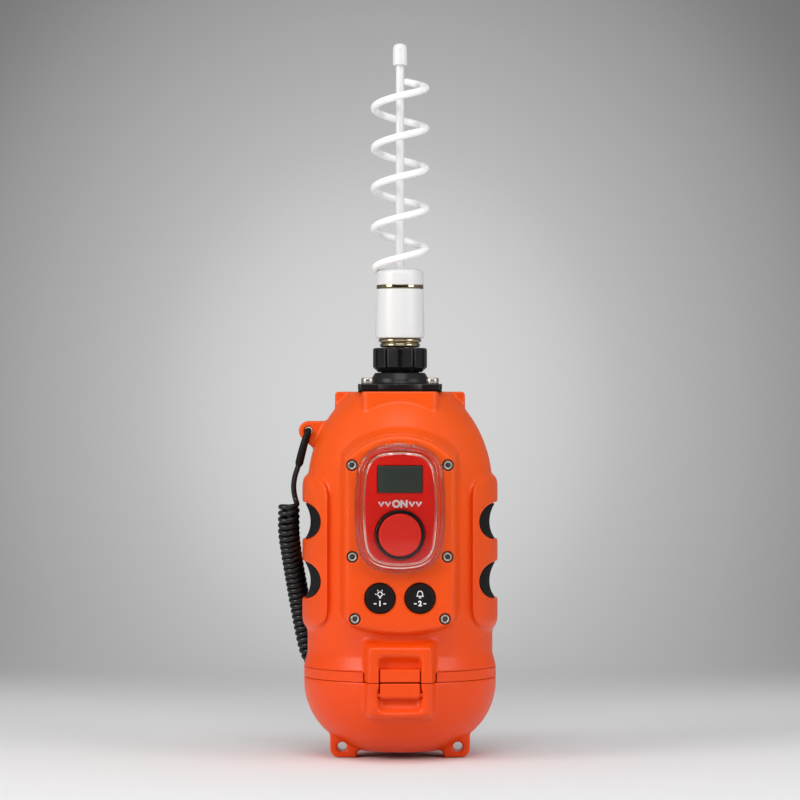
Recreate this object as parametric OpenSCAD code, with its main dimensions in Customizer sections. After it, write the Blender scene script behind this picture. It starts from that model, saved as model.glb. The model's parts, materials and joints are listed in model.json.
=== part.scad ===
// Emergency position beacon: a round floating housing with a bolted control panel,
// a hinged and latched battery case, a plug-in helical antenna and a coiled tether.
// Millimetres. +Z is up, the panel faces -Y, and the origin lies on the axis of the
// body in the plane that the two feet stand on.

/* [Housing] */
// Outer diameter of the straight body
body_d = 101.6; // [98:0.2:104]
// How far the joint of housing and battery case stands proud of the body
case_rise = 1.9; // [1.4:0.1:3]
// Wall thickness of the housing and of the battery case
wall = 3; // [2.4:0.1:3.4]
// Height of the flat top deck above the feet
deck_z = 200; // [196:1:206]
// Height at which the straight body turns into the dome
dome_z = 148; // [146:1:150]
// Radius of the dome's profile
dome_r = 68; // [65:0.5:70]
// Height of the joint between housing and battery case
split_z = 44; // [42:0.5:46]
// Height of the trim band above the joint
band_h = 5.4; // [4.6:0.2:6]

/* [Top deck] */
// Width of the square block at the back of the deck
deck_block_w = 71.6; // [68:0.2:76]
// Reach of the deck block behind the body's axis
deck_block_y = 31; // [28:1:34]
// Distance of each deck screw from the axis, along X and along Y
deck_screw_p = 17.6; // [16.8:0.2:18.4]

/* [Grips] */
// How far the rubber of the two side grips stands proud of the body
grip_rise = 2.9; // [2.4:0.1:4]
// Height of the lower end of the grips
grip_z0 = 71; // [69:0.5:73]
// Height of the upper end of the grips
grip_z1 = 154.3; // [152:0.5:156]
// Half of the gap between the grips, seen from the front
grip_x = 39; // [38:0.5:41]
// Radius of the finger notches
notch_r = 10; // [9:0.25:11]
// Distance of the notch centres from the body's surface
notch_out = 2.1; // [1.2:0.1:3]
// Height of the lower notches
notch_z0 = 97.1; // [95:0.5:99]
// Distance between lower and upper notches
notch_pitch = 32.3; // [30:0.5:34]
// Radius of the hollow in the rubber inserts
scoop_r = 16; // [14:0.5:20]
// Rubber left at the bottom of the hollow
insert_t = 5.8; // [5:0.1:6.4]

/* [Control panel] */
// Width of the panel's flat face
panel_w = 58; // [57:0.5:60]
// How far the panel's face stands in front of the body
panel_rise = 6.2; // [5.2:0.2:7.2]
// How far the panel's root reaches into the body's surface
panel_set = 0.54; // [0.4:0.02:0.7]
// Growth of each panel edge from its face to its root
panel_draft = 2.9; // [2:0.1:4]
// Growth of the arched edge from the panel's face to its root
arch_draft = 5.4; // [4:0.1:6]
// Radius of the arched top edge
arch_r = 38; // [37:0.5:39]
// Height of the arch's centre
arch_z = 138.2; // [137:0.2:139]
// Radius of the curved lower edge
sill_r = 81; // [76:1:90]
// Height of the lower edge at the middle
sill_z = 70.8; // [70:0.2:72]
// Thickness of the panel's bolted lid
lid_t = 4.6; // [4.2:0.1:5]
// Thickness of the seal under the lid
seal_t = 1; // [0.8:0.1:1.4]

/* [Controls] */
// Height of the middle of the clear cover
cover_z = 137.4; // [137:0.1:138]
// Width of the clear cover
cover_w = 49.3; // [48:0.1:50]
// Height of the clear cover
cover_h = 70.2; // [69:0.1:71]
// Reach of the clear cover in front of the panel
cover_t = 8.8; // [8.4:0.1:9]
// Thickness of the clear cover's wall
cover_wall = 1.8; // [1.5:0.1:2.2]
// Height of the display above the middle of the cover
display_rise = 15.7; // [14.6:0.1:16.6]
// Width of the display window
display_w = 23.7; // [22:0.1:25]
// Height of the display window
display_h = 14.3; // [13:0.1:15]
// Depth of the activation button below the middle of the cover
activate_drop = 13.9; // [13.4:0.1:14.4]
// Diameter of the activation button
activate_d = 22.8; // [21:0.2:23.6]
// Travel of the activation button
activate_travel = 2.5; // [1.5:0.1:3]
// Diameter of the two small buttons
key_d = 15.5; // [14:0.1:16.5]
// Distance of each small button from the middle
key_x = 10.7; // [10.2:0.1:11.4]
// Height of the small buttons
key_z = 89.5; // [88.5:0.1:90.5]
// Travel of the small buttons
key_travel = 1.5; // [1:0.1:2]

/* [Battery case] */
// Radius of the bowl's side, seen in section
bowl_r = 37; // [36.5:0.1:37.5]
// Height of the flat under the bowl above the feet
bowl_z = 3.8; // [3.4:0.1:4.6]
// Distance of each foot's outer side from the axis
foot_x = 38.3; // [37:0.1:39]
// Width of each foot where it stands
foot_w = 14.4; // [13:0.1:15]
// Thickness of the feet, front to back
foot_t = 16; // [12:0.2:18]
// Diameter of the tie-down holes in the feet
foot_hole_d = 5.6; // [5:0.1:6]
// Distance between the two tie-down holes
foot_hole_p = 63.2; // [62:0.1:64]
// Height of the tie-down holes
foot_hole_z = 5.8; // [5.5:0.1:6.5]
// Diameter of one battery cell
cell_d = 26.2; // [24:0.2:28]
// Length of one battery cell
cell_h = 40.4; // [38:0.2:42]

/* [Latch and hinge] */
// How far the latch frame's face stands in front of the joint
latch_rise = 5.7; // [5.3:0.1:6.3]
// Width of the latch frame's face
latch_frame_w = 32.6; // [31:0.1:35]
// Width of the pocket in the latch frame
latch_pocket_w = 22.7; // [22:0.1:24]
// Gap on each side of the lever and of the catch
latch_gap = 0.7; // [0.5:0.05:0.9]
// Diameter of the lever's pin
latch_pin_d = 2.2; // [2:0.1:2.4]
// Distance of the case hinge's axis behind the joint
hinge_out = 5.7; // [5.5:0.1:6.3]
// Outer diameter of the case hinge's knuckles
knuckle_d = 7.2; // [6.6:0.1:7.6]
// Diameter of the case hinge's pin
hinge_pin_d = 3; // [2.5:0.1:3.4]
// Width of the whole case hinge
hinge_w = 29; // [26:0.5:34]

/* [Antenna] */
// Width of the antenna base's flange
flange_w = 45.8; // [44:0.2:48]
// Thickness of the antenna base's flange
flange_t = 4.2; // [3.6:0.1:5]
// Height of the antenna base's skirt above its flange
skirt_h = 6.2; // [5.6:0.1:7]
// Outer diameter of the coupling nut
nut_d = 30.3; // [29:0.1:31.5]
// Height of the coupling nut
nut_h = 13.3; // [12.8:0.1:14.4]
// Length of the white sleeve
sleeve_h = 27; // [24:0.5:32]
// Diameter of the white sleeve at its foot
sleeve_d = 27; // [26:0.1:28]
// Height of the white cap above the sleeve
cap_h = 8.8; // [8:0.1:10]
// Diameter of the antenna rod
rod_d = 4.6; // [4:0.1:5.2]
// Length of the rod above the white cap
rod_h = 112; // [108:1:124]
// Diameter of the helix wire
wire_d = 4; // [3.4:0.1:4.4]
// Diameter of the helix, wire centre to wire centre
helix_d = 28.4; // [27.4:0.2:30]
// Rise of one turn of the helix
helix_pitch = 22.1; // [20:0.1:23]

/* [Tether] */
// Diameter of the tether's cord
tether_d = 3; // [2.6:0.1:3.2]
// Outer diameter of the tether's coiled stretch
tether_coil_d = 12.4; // [11.4:0.2:12.6]
// How far the tether eye's middle lies inside the body's outer diameter
eye_in = 0.5; // [0:0.1:1]
// Height of the tether eye
eye_z = 178.5; // [178:0.1:179]
// Outer radius of the tether eyes
eye_r = 5.4; // [5:0.1:6]

/* [Hidden] */
$fn = 96;
// shared clearances
gap = 0.3;
fit = 0.05;
// radii that follow from the diameters
body_r = body_d / 2;
case_r = body_r + case_rise;
grip_r = body_r + grip_rise;
notch_x = body_r + notch_out;
// planes of the joint between housing and battery case
house_z = split_z + gap / 2;
case_z = split_z - gap / 2;
band_z = split_z + band_h;
spigot_r = case_r - wall - fit;
neck_r = spigot_r - wall;
// housing section
flare_z = 57;
dome_cx = body_r - dome_r;
deck_in_z = deck_z - wall;
bulkhead_z = band_z - 3.4;
bulkhead_t = 3;
bay_z = bulkhead_z + bulkhead_t;
// control panel section
panel_y = body_r + panel_rise;
root_y = sqrt(pow(body_r, 2) - pow(panel_w / 2 + panel_draft, 2)) - panel_set;
lid_y = panel_y - lid_t;
panel_hw = panel_w / 2;
panel_deep = panel_y - root_y;
sill_cz = sill_z + sill_r;
panel_corner_r = 8;
panel_corner_x = panel_hw - panel_corner_r;
panel_corner_dz = sqrt(pow(sill_r - panel_corner_r, 2) - pow(panel_corner_x, 2));
panel_corner_z = sill_cz - panel_corner_dz;
panel_edge = 0.8;
rib_t = 3;
screw_pos = [
    [25.6, 160.6],
    [25.4, 111.6],
    [24.1, 78.4]
];
head_r = 2.6;
head_t = 1.8;
shank_r = 1.5;
boss_r = 3.8;
boss_t = 9;
// circuit board on four posts behind the lid
board_y = root_y + 5;
board_t = 1.6;
board_w = 43;
board_z0 = 83.5;
board_z1 = 169;
post_r = 2.2;
post_pos = [
    [18.6, 165.6],
    [18.6, 102.6]
];
// outline of the clear cover: four wide arcs joined by four corner arcs
display_z = cover_z + display_rise;
activate_z = cover_z - activate_drop;
cover_hw = cover_w / 2;
cover_hh = cover_h / 2;
cover_side_r = 143;
cover_top_r = 50;
cover_corner_r = 17;
cover_c1x = cover_hw - cover_side_r;
cover_c2z = cover_hh - cover_top_r;
cover_q1 = cover_side_r - cover_corner_r;
cover_q2 = cover_top_r - cover_corner_r;
cover_c = sqrt(pow(cover_c1x, 2) + pow(cover_c2z, 2));
cover_along = (pow(cover_q1, 2) - pow(cover_q2, 2) + pow(cover_c, 2)) / (2 * cover_c);
cover_off = sqrt(pow(cover_q1, 2) - pow(cover_along, 2));
cover_ux = -cover_c1x / cover_c;
cover_uz = cover_c2z / cover_c;
cover_px = cover_c1x + cover_along * cover_ux - cover_off * cover_uz;
cover_pz = cover_along * cover_uz + cover_off * cover_ux;
// clear cover, fascia and cover hinge
fascia_in = 5;
fascia_t = 2;
cover_back_y = panel_y + gap;
cover_step = 3.4;
cover_rim_t = 5;
cover_pin_r = 0.8;
cover_knuckle_r = 1.5;
cover_axis_y = panel_y + gap + cover_knuckle_r;
cover_axis_z = cover_z + cover_hh - cover_knuckle_r - 0.05;
cover_knuckle_x = 4;
cover_ear_w = 1.8;
// buttons
ring_r = activate_d / 2 + gap;
ring_out_r = ring_r + 1.4;
ring_y = panel_y + 3;
ring_floor_t = 1.6;
cap_back_y = lid_y + activate_travel + gap;
cap_y = panel_y + 5.8;
stem_r = 4;
clip_r = 6;
switch_y = board_y + 2.4;
stem_y = switch_y + gap + activate_travel;
clip_t = 0.8;
clip_y = lid_y - ring_floor_t - gap - clip_t;
key_r = key_d / 2;
key_cap_y = panel_y + 1.2;
key_flange_r = key_r + 1;
key_flange_t = 1;
key_flange_y = lid_y - gap - key_flange_t;
key_stem_y = switch_y + gap + key_travel;
// battery case section
bowl_cx = case_r - bowl_r;
bowl_cz = 41.4;
bowl_dir = 52.6;
bottom_r = bowl_r + bowl_cx / cos(bowl_dir);
bottom_cz = bowl_cz + bowl_cx * tan(bowl_dir);
rim_z = case_z - 4;
seal_r0 = neck_r + 0.7;
seal_r1 = seal_r0 + 1.6;
seal_h = 1.5;
floor_z = bowl_z + wall;
foot_y = -4.7;
foot_corner_r = 5;
cell_r = cell_d / 2;
cell_x = cell_r + 0.5;
cell_z = floor_z + 1.8 + cell_r;
tray_w = 4 * cell_r + 4;
tray_d = cell_h + 5;
tray_z = cell_z + 4;
strip_z = cell_z + cell_r + 0.4;
// latch
latch_y = case_r + latch_rise;
latch_floor_y = case_r + 0.7;
hinge_y = case_r + hinge_out;
latch_root_w = latch_frame_w + 6.4;
latch_z0 = 26.2;
latch_z1 = 63.6;
pocket_z0 = 27.5;
pocket_z1 = 58.8;
lever_w = latch_pocket_w - 2 * latch_gap;
lever_y = latch_y - 0.3;
lever_r = 2.1;
lever_back_y = latch_floor_y + 0.4;
latch_pin_y = lever_back_y + lever_r;
latch_pin_z = 37.7;
lever_top_z = case_z + 0.2;
keeper_z0 = split_z + latch_gap;
keeper_z1 = 51.5;
// case hinge
knuckle_r = knuckle_d / 2;
hinge_pin_r = hinge_pin_d / 2;
hinge_hw = hinge_w / 2;
knuckle_hw = 5;
// antenna stack
flange_seal_t = 0.6;
flange_z = deck_z + flange_seal_t;
skirt_z = deck_z + flange_t;
skirt_top_z = skirt_z + skirt_h;
skirt_r0 = 16.5;
skirt_r1 = 13.8;
neck_bore_r = 4.6;
neck_out_r = 10;
nut_z = skirt_top_z + gap;
nut_top_z = nut_z + nut_h;
nut_r = nut_d / 2;
nut_wall_z = nut_top_z - 3.2;
neck_z = nut_wall_z - 2.6;
plug_r = neck_bore_r - 0.3;
plug_z = deck_z - 4;
plug_flange_r = neck_out_r;
plug_flange_z = neck_z;
plug_stem_r = 7;
collar_z = nut_top_z + gap;
collar_h = 5.1;
sleeve_z = collar_z + collar_h;
sleeve_r = sleeve_d / 2;
sleeve_top_z = sleeve_z + sleeve_h;
sleeve_top_r = sleeve_r - 0.5;
ring_h = 2.2;
cap_z = sleeve_top_z + ring_h;
cap_top_z = cap_z + cap_h;
rod_r = rod_d / 2;
rod_top_z = cap_top_z + rod_h;
tip_r = 3.95;
tip_h = 12.1;
core_r = 3.2;
// helix: angle 0 points along +X
helix_z = cap_top_z + 11.2;
helix_a0 = -235;
helix_a1 = 1515;
helix_step = 15;
helix_in = 2.8;
helix_in_a = 110;
// tether
tether_r = tether_d / 2;
coil_r = tether_coil_d / 2;
eye_x = body_r - eye_in;
anchor_a = 45.7;
anchor_out = 6.48;
anchor_x = (body_r + anchor_out) * cos(anchor_a);
anchor_y = (body_r + anchor_out) * sin(anchor_a);
anchor_z = 61;
anchor_t = 5.2;
tether_exit = [
    [-50.3, -4.3, 178.5],
    [-50.9, -4.9, 176.4],
    [-52.2, -5.1, 172.6],
    [-54, -4.2, 166],
    [-55.6, -2.8, 159.6]
];
tether_exit_r = [1.25, 1.7, 2.05, 2.2, 2.25];
tether_lead = [
    [-55.6, -2.8, 159.6],
    [-56.4, -2.2, 156.4],
    [-57.6, -1.2, 150.6],
    [-58.6, -0.6, 145.6],
    [-59.4, -0.2, 141.4],
    [-60.6, 0, 138]
];
tether_coil = [
    [-60.6, 0, 138],
    [-61.2, 1.4, 130.6],
    [-61.2, 5, 121.6],
    [-60.2, 10.4, 112],
    [-58.8, 15.6, 102],
    [-57.2, 20.2, 92],
    [-55.6, 24, 82],
    [-54, 27.4, 72],
    [-52.2, 30.8, 62.6],
    [-50, 34.4, 54.6],
    [-46.6, 39, 49],
    [-42.6, 43.6, 47.4]
];
tether_tail = [
    [-42.6, 43.6, 47.4],
    [-39.4, 47.2, 48],
    [-37.2, 50.6, 51],
    [-37, 52, 55.4],
    [-38, 51.2, 59.4],
    [-40, 48.6, 61]
];

// An X-Z outline, given thickness between two distances in front of the axis
module plate(near, far) {
    translate([0, -near, 0])
        rotate([90, 0, 0])
            linear_extrude(height = far - near)
                children();
}

// An Y-Z outline, given width from x0 to x1
module across(x0, x1) {
    translate([x0, 0, 0])
        rotate([90, 0, 90])
            linear_extrude(height = x1 - x0)
                children();
}

// A round bar along Y between two distances in front of the axis
module bar(x, z, near, far, r_near, r_far) {
    translate([x, -near, z])
        rotate([90, 0, 0])
            cylinder(h = far - near, r1 = r_near, r2 = r_far);
}

// A round bar along X
module rod_x(y, z, x0, x1, r) {
    translate([x0, y, z])
        rotate([0, 90, 0])
            cylinder(h = x1 - x0, r = r);
}

module ring(z0, z1, r0, r1) {
    difference() {
        translate([0, 0, z0])
            cylinder(h = z1 - z0, r = r1);
        translate([0, 0, z0 - 1])
            cylinder(h = z1 - z0 + 2, r = r0);
    }
}

module both_sides() {
    children();
    mirror([1, 0, 0])
        children();
}

// Tube along a list of points, with its own radius at each point
function unit(v) = v / norm(v);
function way(p, i) = unit(p[min(i + 1, len(p) - 1)] - p[max(i - 1, 0)]);
function side(t) = abs(t[1]) < 0.9 ? unit(cross(t, [0, 1, 0])) : unit(cross(t, [1, 0, 0]));
function loop(c, t, r, n) = [
    for (k = [0 : n - 1])
        c + r * (cos(360 * k / n) * side(t) + sin(360 * k / n) * cross(t, side(t)))
];
module tube(p, r, n) {
    m = len(p);
    rings = [for (i = [0 : m - 1]) loop(p[i], way(p, i), r[i], n)];
    points = [for (a = rings) for (b = a) b];
    sides = [
        for (i = [0 : m - 2])
            for (k = [0 : n - 1])
                [i * n + k, (i + 1) * n + k, (i + 1) * n + (k + 1) % n, i * n + (k + 1) % n]
    ];
    first = [for (k = [0 : n - 1]) k];
    last = [for (k = [0 : n - 1]) m * n - 1 - k];
    polyhedron(points = points, faces = concat([first], sides, [last]), convexity = 6);
}

// Smooth course through the given points
function mix(a, b, c, d, u) = 0.5 * (2 * b + (c - a) * u
    + (2 * a - 5 * b + 4 * c - d) * u * u + (3 * b - a - 3 * c + d) * u * u * u);
function smooth(p, n) = concat([
    for (i = [0 : len(p) - 2])
        for (k = [0 : n - 1])
            mix(p[max(i - 1, 0)], p[i], p[i + 1], p[min(i + 2, len(p) - 1)], k / n)
], [p[len(p) - 1]]);
function same(p, r) = [for (a = p) r];

// Section of the housing, drawn o inside its outer face
module body_section(o) {
    polygon([
        [0, band_z],
        [case_r - o, band_z],
        [case_r - o, band_z + 0.6],
        [body_r - o, flare_z],
        [body_r - o, dome_z],
        [0, dome_z]
    ]);
    intersection() {
        translate([dome_cx, dome_z])
            circle(r = dome_r - o);
        translate([0, dome_z])
            square([body_r, deck_z - o - dome_z]);
    }
}

module deck_outline() {
    hw = deck_block_w / 2;
    z0 = deck_z - 26;
    difference() {
        translate([-hw, z0])
            square([deck_block_w, deck_z - z0]);
        both_sides()
            translate([hw - 1.6, deck_z - 1.6])
                difference() {
                    square([2, 2]);
                    circle(r = 1.6);
                }
    }
}

// Flat landing in front of the deck block, whose corners stand out of the dome
module landing_outline() {
    hw = deck_screw_p + 3.1;
    y = deck_screw_p + 15;
    r = 3.8;
    translate([-hw, r - y])
        square([2 * hw, y - r]);
    translate([r - hw, -y])
        square([2 * (hw - r), y]);
    for (x = [r - hw, hw - r])
        translate([x, r - y])
            circle(r = r);
}

module eye_plate(x, z) {
    translate([-x, z])
        circle(r = eye_r);
    polygon([
        [-x, z + eye_r],
        [-x + 22, z + eye_r],
        [-x + 22, z - 16],
        [-x + 2.6, z - 9.5],
        [-x - 3.2, z - 4.35]
    ]);
}

module grip_pad() {
    intersection() {
        rotate_extrude()
            polygon([
                [body_r - 2, grip_z0],
                [grip_r - 1.6, grip_z0],
                [grip_r - 0.4, grip_z0 + 2],
                [grip_r, grip_z0 + 5],
                [grip_r, grip_z1 - 5],
                [grip_r - 0.4, grip_z1 - 2],
                [grip_r - 1.6, grip_z1],
                [body_r - 2, grip_z1]
            ]);
        plate(-grip_r, grip_r)
            grip_outline();
    }
}

module grip_outline() {
    r = 10;
    difference() {
        translate([grip_x, grip_z0])
            square([grip_r - grip_x, grip_z1 - grip_z0]);
        translate([grip_x, grip_z0])
            difference() {
                square([r, r]);
                translate([r, r])
                    circle(r = r);
            }
        translate([grip_x, grip_z1 - r])
            difference() {
                square([r, r]);
                translate([r, 0])
                    circle(r = r);
            }
    }
}

// Drafted block of the control panel, o inside its outer face, c its edge bevel
module panel_block(near, far, o, c) {
    hw = panel_hw - o;
    intersection() {
        linear_extrude(height = 220)
            polygon([
                [-hw - panel_draft, -root_y],
                [-hw, -panel_y],
                [hw, -panel_y],
                [hw + panel_draft, -root_y]
            ]);
        union() {
            bar(0, arch_z, root_y, panel_y, arch_r + arch_draft - o, arch_r - o);
            below_arch();
        }
        bar(0, sill_cz, root_y, panel_y, sill_r + panel_draft - o, sill_r - o);
        translate([-50, -far, 40])
            cube([100, far - near, 160]);
        if (c > 0)
            panel_bevel(c);
    }
}

module panel_bevel(c) {
    k = 6;
    hw = panel_hw - c;
    intersection() {
        linear_extrude(height = 220)
            polygon([
                [-60, -root_y + 1],
                [-hw - k, -panel_y + k],
                [-hw, -panel_y],
                [hw, -panel_y],
                [hw + k, -panel_y + k],
                [60, -root_y + 1]
            ]);
        union() {
            bar(0, arch_z, panel_y - 30, panel_y, arch_r - c + 30, arch_r - c);
            below_arch();
        }
        bar(0, sill_cz, panel_y - 30, panel_y, sill_r - c + 30, sill_r - c);
    }
}

module below_arch() {
    w = panel_w + 4 * panel_draft;
    translate([-w / 2, -panel_y - 1, split_z])
        cube([w, panel_y + 1, arch_z - split_z]);
}

// What the round lower corners leave out of the panel block
module panel_corners(o) {
    l = 30;
    tx = panel_corner_x / (sill_r - panel_corner_r);
    tz = -panel_corner_dz / (sill_r - panel_corner_r);
    both_sides()
        difference() {
            plate(root_y - 1, panel_y + 1)
                polygon([
                    [panel_corner_x, panel_corner_z],
                    [panel_corner_x + l * tx, panel_corner_z + l * tz],
                    [panel_corner_x + l, panel_corner_z + l * tz],
                    [panel_corner_x + l, panel_corner_z]
                ]);
            bar(panel_corner_x, panel_corner_z, root_y - 2, panel_y + 2,
                panel_corner_r + panel_draft - o, panel_corner_r - o);
        }
}

module panel_shape(near, far, o, c) {
    difference() {
        panel_block(near, far, o, c);
        panel_corners(o);
    }
}

module at_screws() {
    both_sides()
        for (p = screw_pos)
            translate([p[0], 0, p[1]])
                children();
}

module at_posts() {
    both_sides()
        for (p = post_pos)
            translate([p[0], 0, p[1]])
                children();
}

// Latch frame between two heights
module latch_frame(z0, z1) {
    fw = latch_frame_w / 2;
    rw = latch_root_w / 2;
    difference() {
        intersection() {
            translate([0, 0, z0])
                linear_extrude(height = z1 - z0)
                    polygon([
                        [-rw, -47],
                        [-fw - 0.8, -latch_y + 0.8],
                        [-fw, -latch_y],
                        [fw, -latch_y],
                        [fw + 0.8, -latch_y + 0.8],
                        [rw, -47]
                    ]);
            across(-rw, rw)
                polygon([
                    [-latch_y, latch_z0 + 0.8],
                    [-latch_y + 0.8, latch_z0],
                    [-47, latch_z0 - 3],
                    [-36, latch_z0 - 3],
                    [-36, latch_z1 + 3],
                    [-47, latch_z1 + 3],
                    [-latch_y + 0.8, latch_z1],
                    [-latch_y, latch_z1 - 0.8]
                ]);
        }
        across(-latch_pocket_w / 2, latch_pocket_w / 2)
            polygon([
                [-latch_y - 1, pocket_z0 - 0.7],
                [-latch_floor_y, pocket_z0 + 3.6],
                [-latch_floor_y, pocket_z1 - 3.6],
                [-latch_y - 1, pocket_z1 + 0.7]
            ]);
    }
}

module main_housing() {
    color([0.97, 0.36, 0.13])
        difference() {
            union() {
                rotate_extrude()
                    body_section(0);
                ring(house_z, band_z + 1, neck_r, spigot_r);
                both_sides()
                    grip_pad();
                plate(-deck_block_y, 0)
                    deck_outline();
                translate([0, 0, deck_z - 22])
                    linear_extrude(height = 22)
                        landing_outline();
                plate(-3, 3)
                    eye_plate(eye_x, eye_z);
                plate(-anchor_y - anchor_t / 2, -anchor_y + anchor_t / 2) {
                    translate([-anchor_x, anchor_z])
                        circle(r = eye_r);
                    translate([-anchor_x, anchor_z - eye_r])
                        square([14, 2 * eye_r]);
                }
                panel_shape(root_y, lid_y, 0, 0);
                latch_frame(house_z, latch_z1 + 4);
                housing_knuckles();
            }
            housing_cavity();
            housing_holes();
        }
}

module housing_knuckles() {
    both_sides()
        across(knuckle_hw + gap, hinge_hw) {
            translate([hinge_y, split_z])
                circle(r = knuckle_r);
            polygon([
                [hinge_y + knuckle_r, split_z],
                [hinge_y + 0.6, split_z + 8],
                [body_r - 1, split_z + 16],
                [body_r - 4, split_z + 16],
                [spigot_r - 1, split_z + 3],
                [hinge_y - knuckle_r, split_z + 0.8]
            ]);
        }
}

module housing_cavity() {
    difference() {
        union() {
            rotate_extrude()
                difference() {
                    body_section(wall);
                    translate([0, 0])
                        square([80, bay_z + 2]);
                }
            translate([0, 0, bay_z - 0.01])
                cylinder(h = 3, r = neck_r - 1.6);
            translate([0, 0, split_z - 5])
                cylinder(h = bay_z - split_z + 5, r = neck_r);
            panel_shape(root_y - 0.5, lid_y + 1, rib_t, 0);
            translate([-panel_hw + rib_t, -root_y - 1, sill_z + 8])
                cube([panel_w - 2 * rib_t, 8, 88]);
        }
        both_sides()
            at_notches(notch_r + wall - 0.5, grip_r + 2);
        at_screws()
            bar(0, 0, lid_y - boss_t, lid_y + 1, boss_r, boss_r);
        translate([0, 0, deck_in_z - 9])
            cylinder(h = 20, r = 11);
        both_sides()
            for (y = [-deck_screw_p, deck_screw_p])
                translate([deck_screw_p, y, deck_z - 13])
                    cylinder(h = 14, r = 4);
    }
}

module at_notches(r, l) {
    for (i = [0, 1])
        bar(notch_x, notch_z0 + i * notch_pitch, -l, l, r, r);
}

module housing_holes() {
    both_sides()
        at_notches(notch_r, grip_r + 2);
    // seat and fixing holes of the lid
    at_screws()
        bar(0, 0, lid_y - boss_t + 1, lid_y + 1, shank_r + fit, shank_r + fit);
    // antenna socket and fixing holes of the flange
    translate([0, 0, deck_in_z - 12])
        cylinder(h = 30, r = 8);
    both_sides()
        for (y = [-deck_screw_p, deck_screw_p])
            translate([deck_screw_p, y, deck_z - 11])
                cylinder(h = 20, r = shank_r + fit);
    // tether eyes
    bar(-eye_x, eye_z, -10, 10, 2.2, 2.2);
    bar(-anchor_x, anchor_z, -anchor_y - 10, -anchor_y + 10, 1.8, 1.8);
    // case hinge
    rod_x(hinge_y, split_z, -hinge_hw - 1, hinge_hw + 1, hinge_pin_r + fit);
}

module joint_band() {
    color([0.95, 0.36, 0.13])
        difference() {
            ring(house_z, band_z - fit, spigot_r + fit, case_r);
            translate([-latch_root_w / 2 - gap, -60, split_z - 1])
                cube([latch_root_w + 2 * gap, 30, 10]);
            translate([-hinge_hw - gap, 30, split_z - 1])
                cube([hinge_w + 2 * gap, 40, 10]);
        }
}

module bulkhead() {
    color([0.2, 0.2, 0.21])
        difference() {
            translate([0, 0, bulkhead_z])
                cylinder(h = bulkhead_t, r = neck_r - fit);
            for (x = [-cell_x, cell_x])
                translate([x, 0, bulkhead_z - 1])
                    cylinder(h = bulkhead_t + 2, r = 2 + fit);
        }
}

module power_contacts() {
    color([0.86, 0.68, 0.35])
        for (x = [-cell_x, cell_x])
            translate([x, 0, 0]) {
                translate([0, 0, strip_z + 1 + gap])
                    cylinder(h = bay_z - strip_z - 1, r = 2);
                translate([0, 0, bay_z])
                    cylinder(h = 1.2, r = 3.6);
            }
}

module front_panel() {
    color([0.95, 0.35, 0.13]) {
        difference() {
            panel_shape(lid_y, panel_y, 0, panel_edge);
            plate(panel_y - fascia_t, panel_y + 1)
                cover_outline(fascia_in - fit);
            bar(0, activate_z, lid_y - 1, panel_y + 1, ring_out_r + fit, ring_out_r + fit);
            plate(lid_y - 1, panel_y + 1)
                translate([-display_w / 2 + 1, display_z - display_h / 2 + 1])
                    square([display_w - 2, display_h - 2]);
            both_sides()
                bar(key_x, key_z, lid_y - 1, panel_y + 1, key_r + 0.45, key_r + 0.45);
            at_screws() {
                bar(0, 0, lid_y - 1, panel_y + 1, shank_r + fit, shank_r + fit);
                bar(0, 0, panel_y - head_t - 0.5, panel_y + 1, head_r + 0.55, head_r + 0.55);
            }
            plate(lid_y - 1, lid_y + seal_t)
                seal_outline(0);
        }
        at_posts()
            bar(0, 0, board_y, lid_y + 0.01, post_r, post_r);
    }
}

// Outline of the groove that holds the lid's seal
module seal_outline(o) {
    difference() {
        seal_loop(1.4 + o);
        seal_loop(2.9 - o);
    }
}

module seal_loop(o) {
    intersection() {
        union() {
            translate([0, arch_z])
                circle(r = arch_r - o);
            translate([-panel_w, split_z])
                square([2 * panel_w, arch_z - split_z]);
        }
        translate([0, sill_cz])
            circle(r = sill_r - o);
        translate([-panel_hw + o + 0.2, split_z])
            square([panel_w - 2 * o - 0.4, deck_z - split_z]);
    }
}

module panel_seal() {
    color([0.1, 0.1, 0.1])
        difference() {
            plate(lid_y, lid_y + seal_t)
                seal_outline(fit);
            panel_corners(1.6);
            at_screws()
                bar(0, 0, lid_y - 1, panel_y, shank_r + 0.3, shank_r + 0.3);
        }
}

module panel_screws() {
    color([0.75, 0.74, 0.72])
        at_screws()
            difference() {
                union() {
                    bar(0, 0, lid_y - boss_t + 2, panel_y - head_t, shank_r, shank_r);
                    bar(0, 0, panel_y - head_t - 0.5, panel_y - 1.1, head_r, head_r);
                    bar(0, 0, panel_y - 1.1, panel_y - 0.5, head_r, head_r - 0.6);
                }
                bar(0, 0, panel_y - 1.7, panel_y, 1.25, 1.25);
            }
}

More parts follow.
